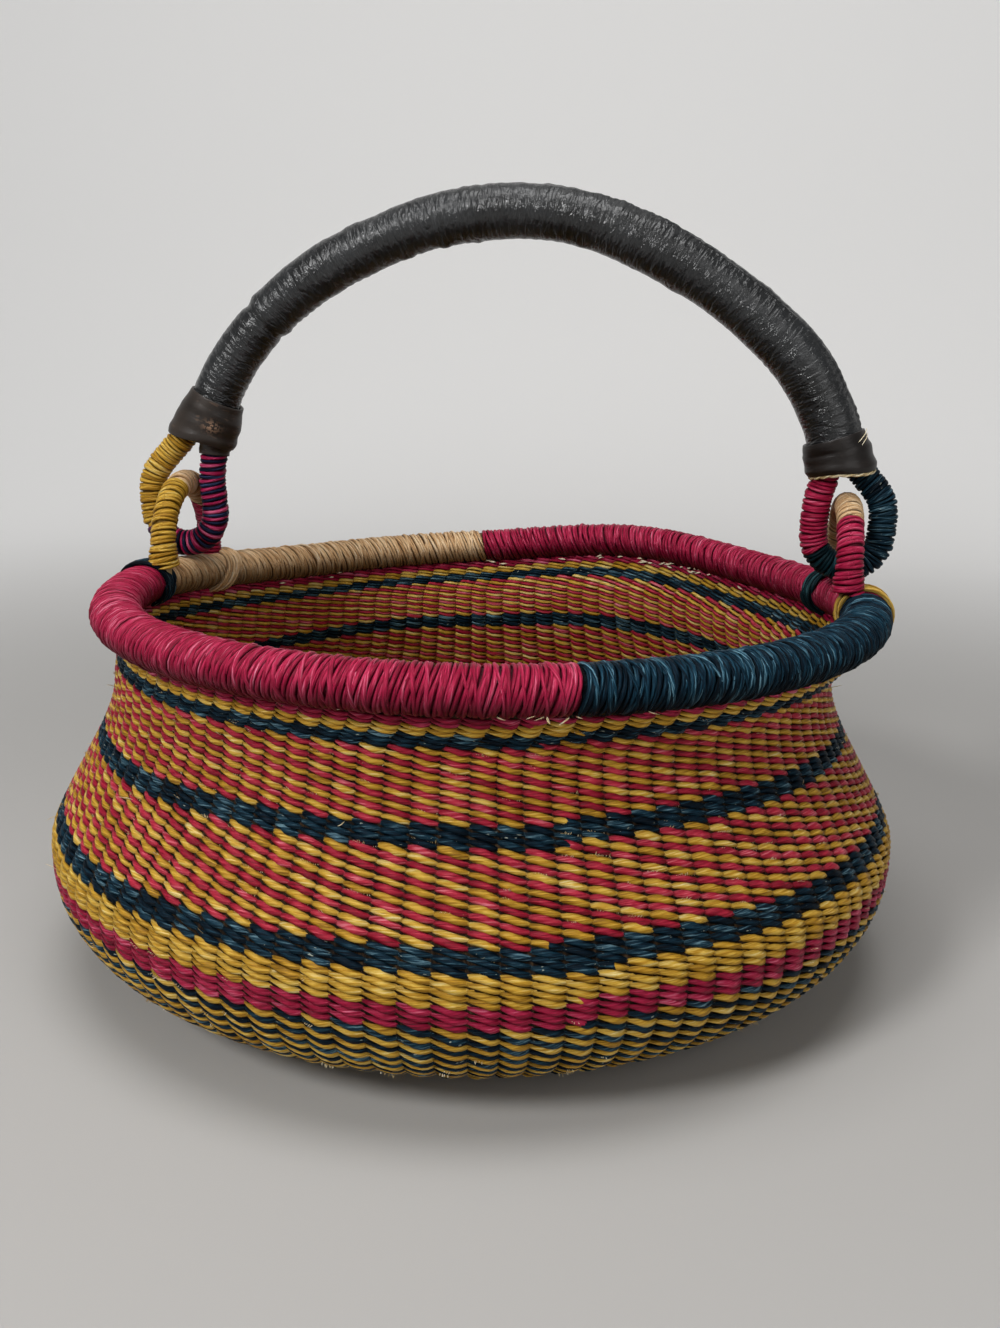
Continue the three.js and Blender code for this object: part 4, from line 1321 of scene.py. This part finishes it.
@dataclass
class Loops:
    """The rings on the rim and the eyes of the handle."""

    dresser: Dresser
    grip: Grip
    ring_radius: float = 6.3
    eye_radius: float = 6.8
    eye_shoulder: float = 0.95
    eye_tuck: float = 9.0
    # How deep a ring stands in the rim, and by what share its whipping is wider there
    foot_depth: float = 8.5
    foot_flare: float = 0.26
    seed: int = 23

    def eye_line(self, link: Link) -> Line:
        """Gives the middle line of an eye, from its outer leg to its inner one."""
        tip, inward = self.grip.end(link.side)
        spread = np.cross(inward, (0.0, 1.0, 0.0)) * -link.side * link.eye_top_half_width
        x = RIM_SHIFT + link.side * link.offset
        half = link.eye_half_width
        knee_out = link.side * half * self.eye_shoulder
        outer = [tip + inward * along + spread for along in (self.eye_tuck, 0)]
        inner = [tip + inward * along - spread for along in (0, self.eye_tuck)]
        outer_knee, inner_knee = ((x + out, LINK_SETBACK, PIVOT_HEIGHT + link.knee_rise)
                                  for out in (knee_out, -knee_out))
        bow = [(x + link.side * half * math.cos(angle), LINK_SETBACK,
                PIVOT_HEIGHT + half - half * math.sin(angle)) for angle in np.linspace(0, math.pi, 9)]
        return smooth_line([*outer, outer_knee, *bow, inner_knee, *inner])

    def wrap(self, winder: Winder, prefix: str, line: Line, winding: Winding, body: Body,
             stretches: tuple[Stretch, ...], trim: tuple[float, float]) -> None:
        """Winds every colour of a loop.

        Args:
            winder: Winds it.
            prefix: Start of the pieces' names, which is also that of the nodes.
            line: The loop's middle line.
            winding: How it is wound.
            body: The body that it rides on.
            stretches: Its colours.
            trim: Length left bare at the start and the end, inside what it stands on.
        """
        start = 0.0
        for stretch in stretches:
            low = max(start * line.length, trim[0])
            high = min(stretch.until * line.length, line.length - trim[1])
            flare = self.foot_flare if start == 0 and trim[0] > 0 else 0.0
            strands = len(stretch.straws)
            winding = replace(winding, starts=strands)
            for which, straw in enumerate(stretch.straws):
                label = f"{prefix}_{stretch.name}" if strands == 1 else f"{prefix}_{stretch.name}_{which}"
                mesh = StrandMesh(f"{label}_whipping", sides=8)
                if which == 0:
                    winder.bed(mesh, line, winding, low, high)
                winder.wind(mesh, line, winding, low, high, which, flare)
                self.dresser.dress(mesh.build(), straw, body, f"{prefix}_{stretch.name}_wrap")
            start = stretch.until

    def build(self) -> None:
        """Makes both rings and both eyes."""
        winder = Winder(self.seed)
        for link in LINKS:
            ring, eye = (Winding(radius, radius, 1.9, pitch=1.95, slant=0.6, wander=0.2, layers=0.16,
                                 per_turn=16, axis=axis)
                         for radius, axis in ((self.ring_radius, (1, 0, 0)), (self.eye_radius, (0, 1, 0))))
            line = link.ring_line()
            trim = [self.foot_depth + rim_lift(math.atan2(p[1], p[0] - RIM_SHIFT))
                    for p in line.points[[0, -1]]]
            self.wrap(winder, f"{link.name}_ring", line, ring, Body.BASKET, link.ring_stretches, trim)
            line = self.eye_line(link)
            self.wrap(winder, f"{link.name}_eye", line, eye, Body.HANDLE, link.eye_stretches, (0.0, 0.0))
            if link.side < 0:
                self.grip.add_collar(line, self.eye_tuck, self.eye_radius)


@dataclass
class Lashings:
    """Straw bound round the rim under the feet of the rings."""

    dresser: Dresser
    turns: int = 6
    pitch: float = 2.0
    proud: float = 2.3
    seed: int = 31
    # Each lashing: its name, link, dye and how far its turns lean, in mm
    straws: tuple[tuple, ...] = (
        ("left_front", LINKS[0], Straw.TEAL, 1.5), ("left_rear", LINKS[0], Straw.TAN, -5.0),
        ("right_front", LINKS[1], Straw.YELLOW, 4.5), ("right_rear", LINKS[1], Straw.DARK_TEAL, 1.5))

    def build(self) -> None:
        """Makes the four lashings."""
        winder = Winder(self.seed)
        for name, link, straw, slant in self.straws:
            foot = link.ring_line().points[0 if name.endswith("front") else -1]
            middle = math.atan2(foot[1], foot[0] - RIM_SHIFT)
            margin = abs(slant) + 1.0
            half = (self.turns * self.pitch / 2 + margin) / RIM_RADIUS
            line = rim_line(middle - half, middle + half, 60)
            winding = Winding(RIM_HALF_WIDTH + self.proud, RIM_HALF_HEIGHT + self.proud, 2.2,
                              pitch=self.pitch, slant=slant, per_turn=28, wander=0.3, layers=0.3,
                              play=margin)
            mesh = StrandMesh(f"{name}_binding", sides=8)
            winder.wind(mesh, line, winding, margin, line.length - margin)
            self.dresser.dress(mesh.build(), straw, Body.BASKET, f"{name}_lashing")


@dataclass
class Studio:
    """Floor, backdrop, lamps and camera. Places are in metres, but for the camera's."""

    eye: tuple[float, float, float] = (102.6, -582.0, 284.0)
    turn: float = 8.83
    pitch: float = 14.26
    roll: float = 0.7
    sensor: float = 36.0
    lens_share: float = 1250.0 / 1328.0
    # Each lamp: its name, place, size and power in watts
    lamps: tuple[tuple, ...] = (("key", (-0.7, -1.25, 1.15), 0.45, 15.5),
                                ("fill", (0.9, -1.2, 0.8), 1.2, 5.0),
                                ("top", (0.0, -0.3, 1.78), 1.1, 14.5))
    lamp_target: tuple[float, float, float] = (0.0, 0.0, 0.15)
    reach: float = 6.0
    back: float = 1.6
    curve: float = 0.5
    height: float = 3.0
    # The paper's own glow: none near the object, and full from this many metres away
    glow_from: float = 0.35
    glow_to: float = 1.6
    glow: float = 0.41
    # Light of the world on everything, and what the camera and reflections see on top of it
    ambient: float = 0.1
    seen: tuple[tuple[str, float], ...] = (("Is Camera Ray", 0.4), ("Is Glossy Ray", 0.12))

    def add_floor(self) -> None:
        """Makes the pale floor that rises into the backdrop."""
        foot = self.back - self.curve
        rows = [(-self.reach, 0.0), (foot, 0.0)]
        rows += [(foot + self.curve * math.sin(a), self.curve - self.curve * math.cos(a))
                 for a in np.linspace(0.1, math.pi / 2, 12)]
        rows.append((self.back, self.height))
        mesh = bpy.data.meshes.new("backdrop")
        vertices = [(x, y, z) for y, z in rows for x in (-self.reach, self.reach)]
        faces = [(2 * i, 2 * i + 1, 2 * i + 3, 2 * i + 2) for i in range(len(rows) - 1)]
        mesh.from_pydata(vertices, [], faces)
        mesh.shade_smooth()
        floor = bpy.data.objects.new("backdrop", mesh)
        bpy.context.scene.collection.objects.link(floor)
        # Matt pale paper, which looks evenly lit away from the object and keeps its shadow near it
        paper = bpy.data.materials.new("studio_paper")
        add = Shader(paper).add
        away = add("VectorMath", {0: add("TexCoord", {}, "Object")}, "Value", operation="LENGTH")
        glow = add("MapRange", {"Value": away, "From Min": self.glow_from, "From Max": self.glow_to,
                                "To Max": self.glow}, interpolation_type="SMOOTHSTEP")
        rays = [add("LightPath", {}, ray) for ray, _ in self.seen]
        seen = add("Math", {0: rays[0], 1: rays[1]}, operation="MAXIMUM")
        surface = add("BsdfPrincipled", {
            "Base Color": linear("#BBB9B6"), "Roughness": 0.9, "Emission Color": (1.0, 1.0, 1.0, 1.0),
            "Emission Strength": add("Math", {0: seen, 1: glow}, operation="MULTIPLY")})
        add("OutputMaterial", {"Surface": surface})
        mesh.materials.append(paper)

    def add_lamps(self) -> None:
        """Adds the soft lamps, which look at the basket."""
        for name, place, size, power in self.lamps:
            data = bpy.data.lights.new(name, "AREA")
            data.shape, data.size, data.energy = "DISK", size, power
            lamp = bpy.data.objects.new(name, data)
            lamp.location = place
            aim = Vector(self.lamp_target) - Vector(place)
            lamp.rotation_euler = aim.to_track_quat("-Z", "Y").to_euler()
            bpy.context.scene.collection.objects.link(lamp)

    def add_camera(self) -> None:
        """Puts the camera where the photo was taken from."""
        data = bpy.data.cameras.new("camera")
        data.sensor_fit = "VERTICAL"
        data.sensor_height = self.sensor
        data.lens = self.lens_share * self.sensor
        camera = bpy.data.objects.new("camera", data)
        turn, tilt, roll = (Matrix.Rotation(math.radians(angle), 4, axis)
                            for angle, axis in ((self.turn, "Z"), (90 - self.pitch, "X"), (self.roll, "Z")))
        camera.matrix_world = Matrix.Translation(Vector(self.eye) * METRE) @ turn @ tilt @ roll
        bpy.context.scene.collection.objects.link(camera)
        bpy.context.scene.camera = camera

    def add_world(self) -> None:
        """Makes the plain light of the room, which camera and reflections see brighter."""
        world = bpy.data.worlds.new("room")
        add = Shader(world).add
        level = self.ambient
        for ray, share in self.seen:
            level = add("Math", {0: add("LightPath", {}, ray), 1: share, 2: level}, operation="MULTIPLY_ADD")
        light = add("Background", {"Color": (1.0, 1.0, 1.0, 1.0), "Strength": level})
        add("OutputWorld", {"Surface": light})
        bpy.context.scene.world = world

    def build(self) -> None:
        """Makes the whole stage."""
        self.add_camera()
        self.add_floor()
        self.add_lamps()
        self.add_world()
        bpy.context.scene.view_settings.view_transform = "Standard"


def main() -> None:
    """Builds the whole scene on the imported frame."""
    logging.basicConfig(level=logging.INFO, format="%(message)s")
    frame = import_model()
    dresser = Dresser()
    grip = Grip(dresser)
    for part in (Studio(), Wall(dresser), Rim(dresser), grip, Loops(dresser, grip), Lashings(dresser)):
        part.build()
    for name in ("rim_core", "left_ring_core", "right_ring_core", "left_eye_core", "right_eye_core",
                 "handle_core"):
        dresser.dress_core(frame["nodes"][name])


if __name__ == "__main__":
    main()
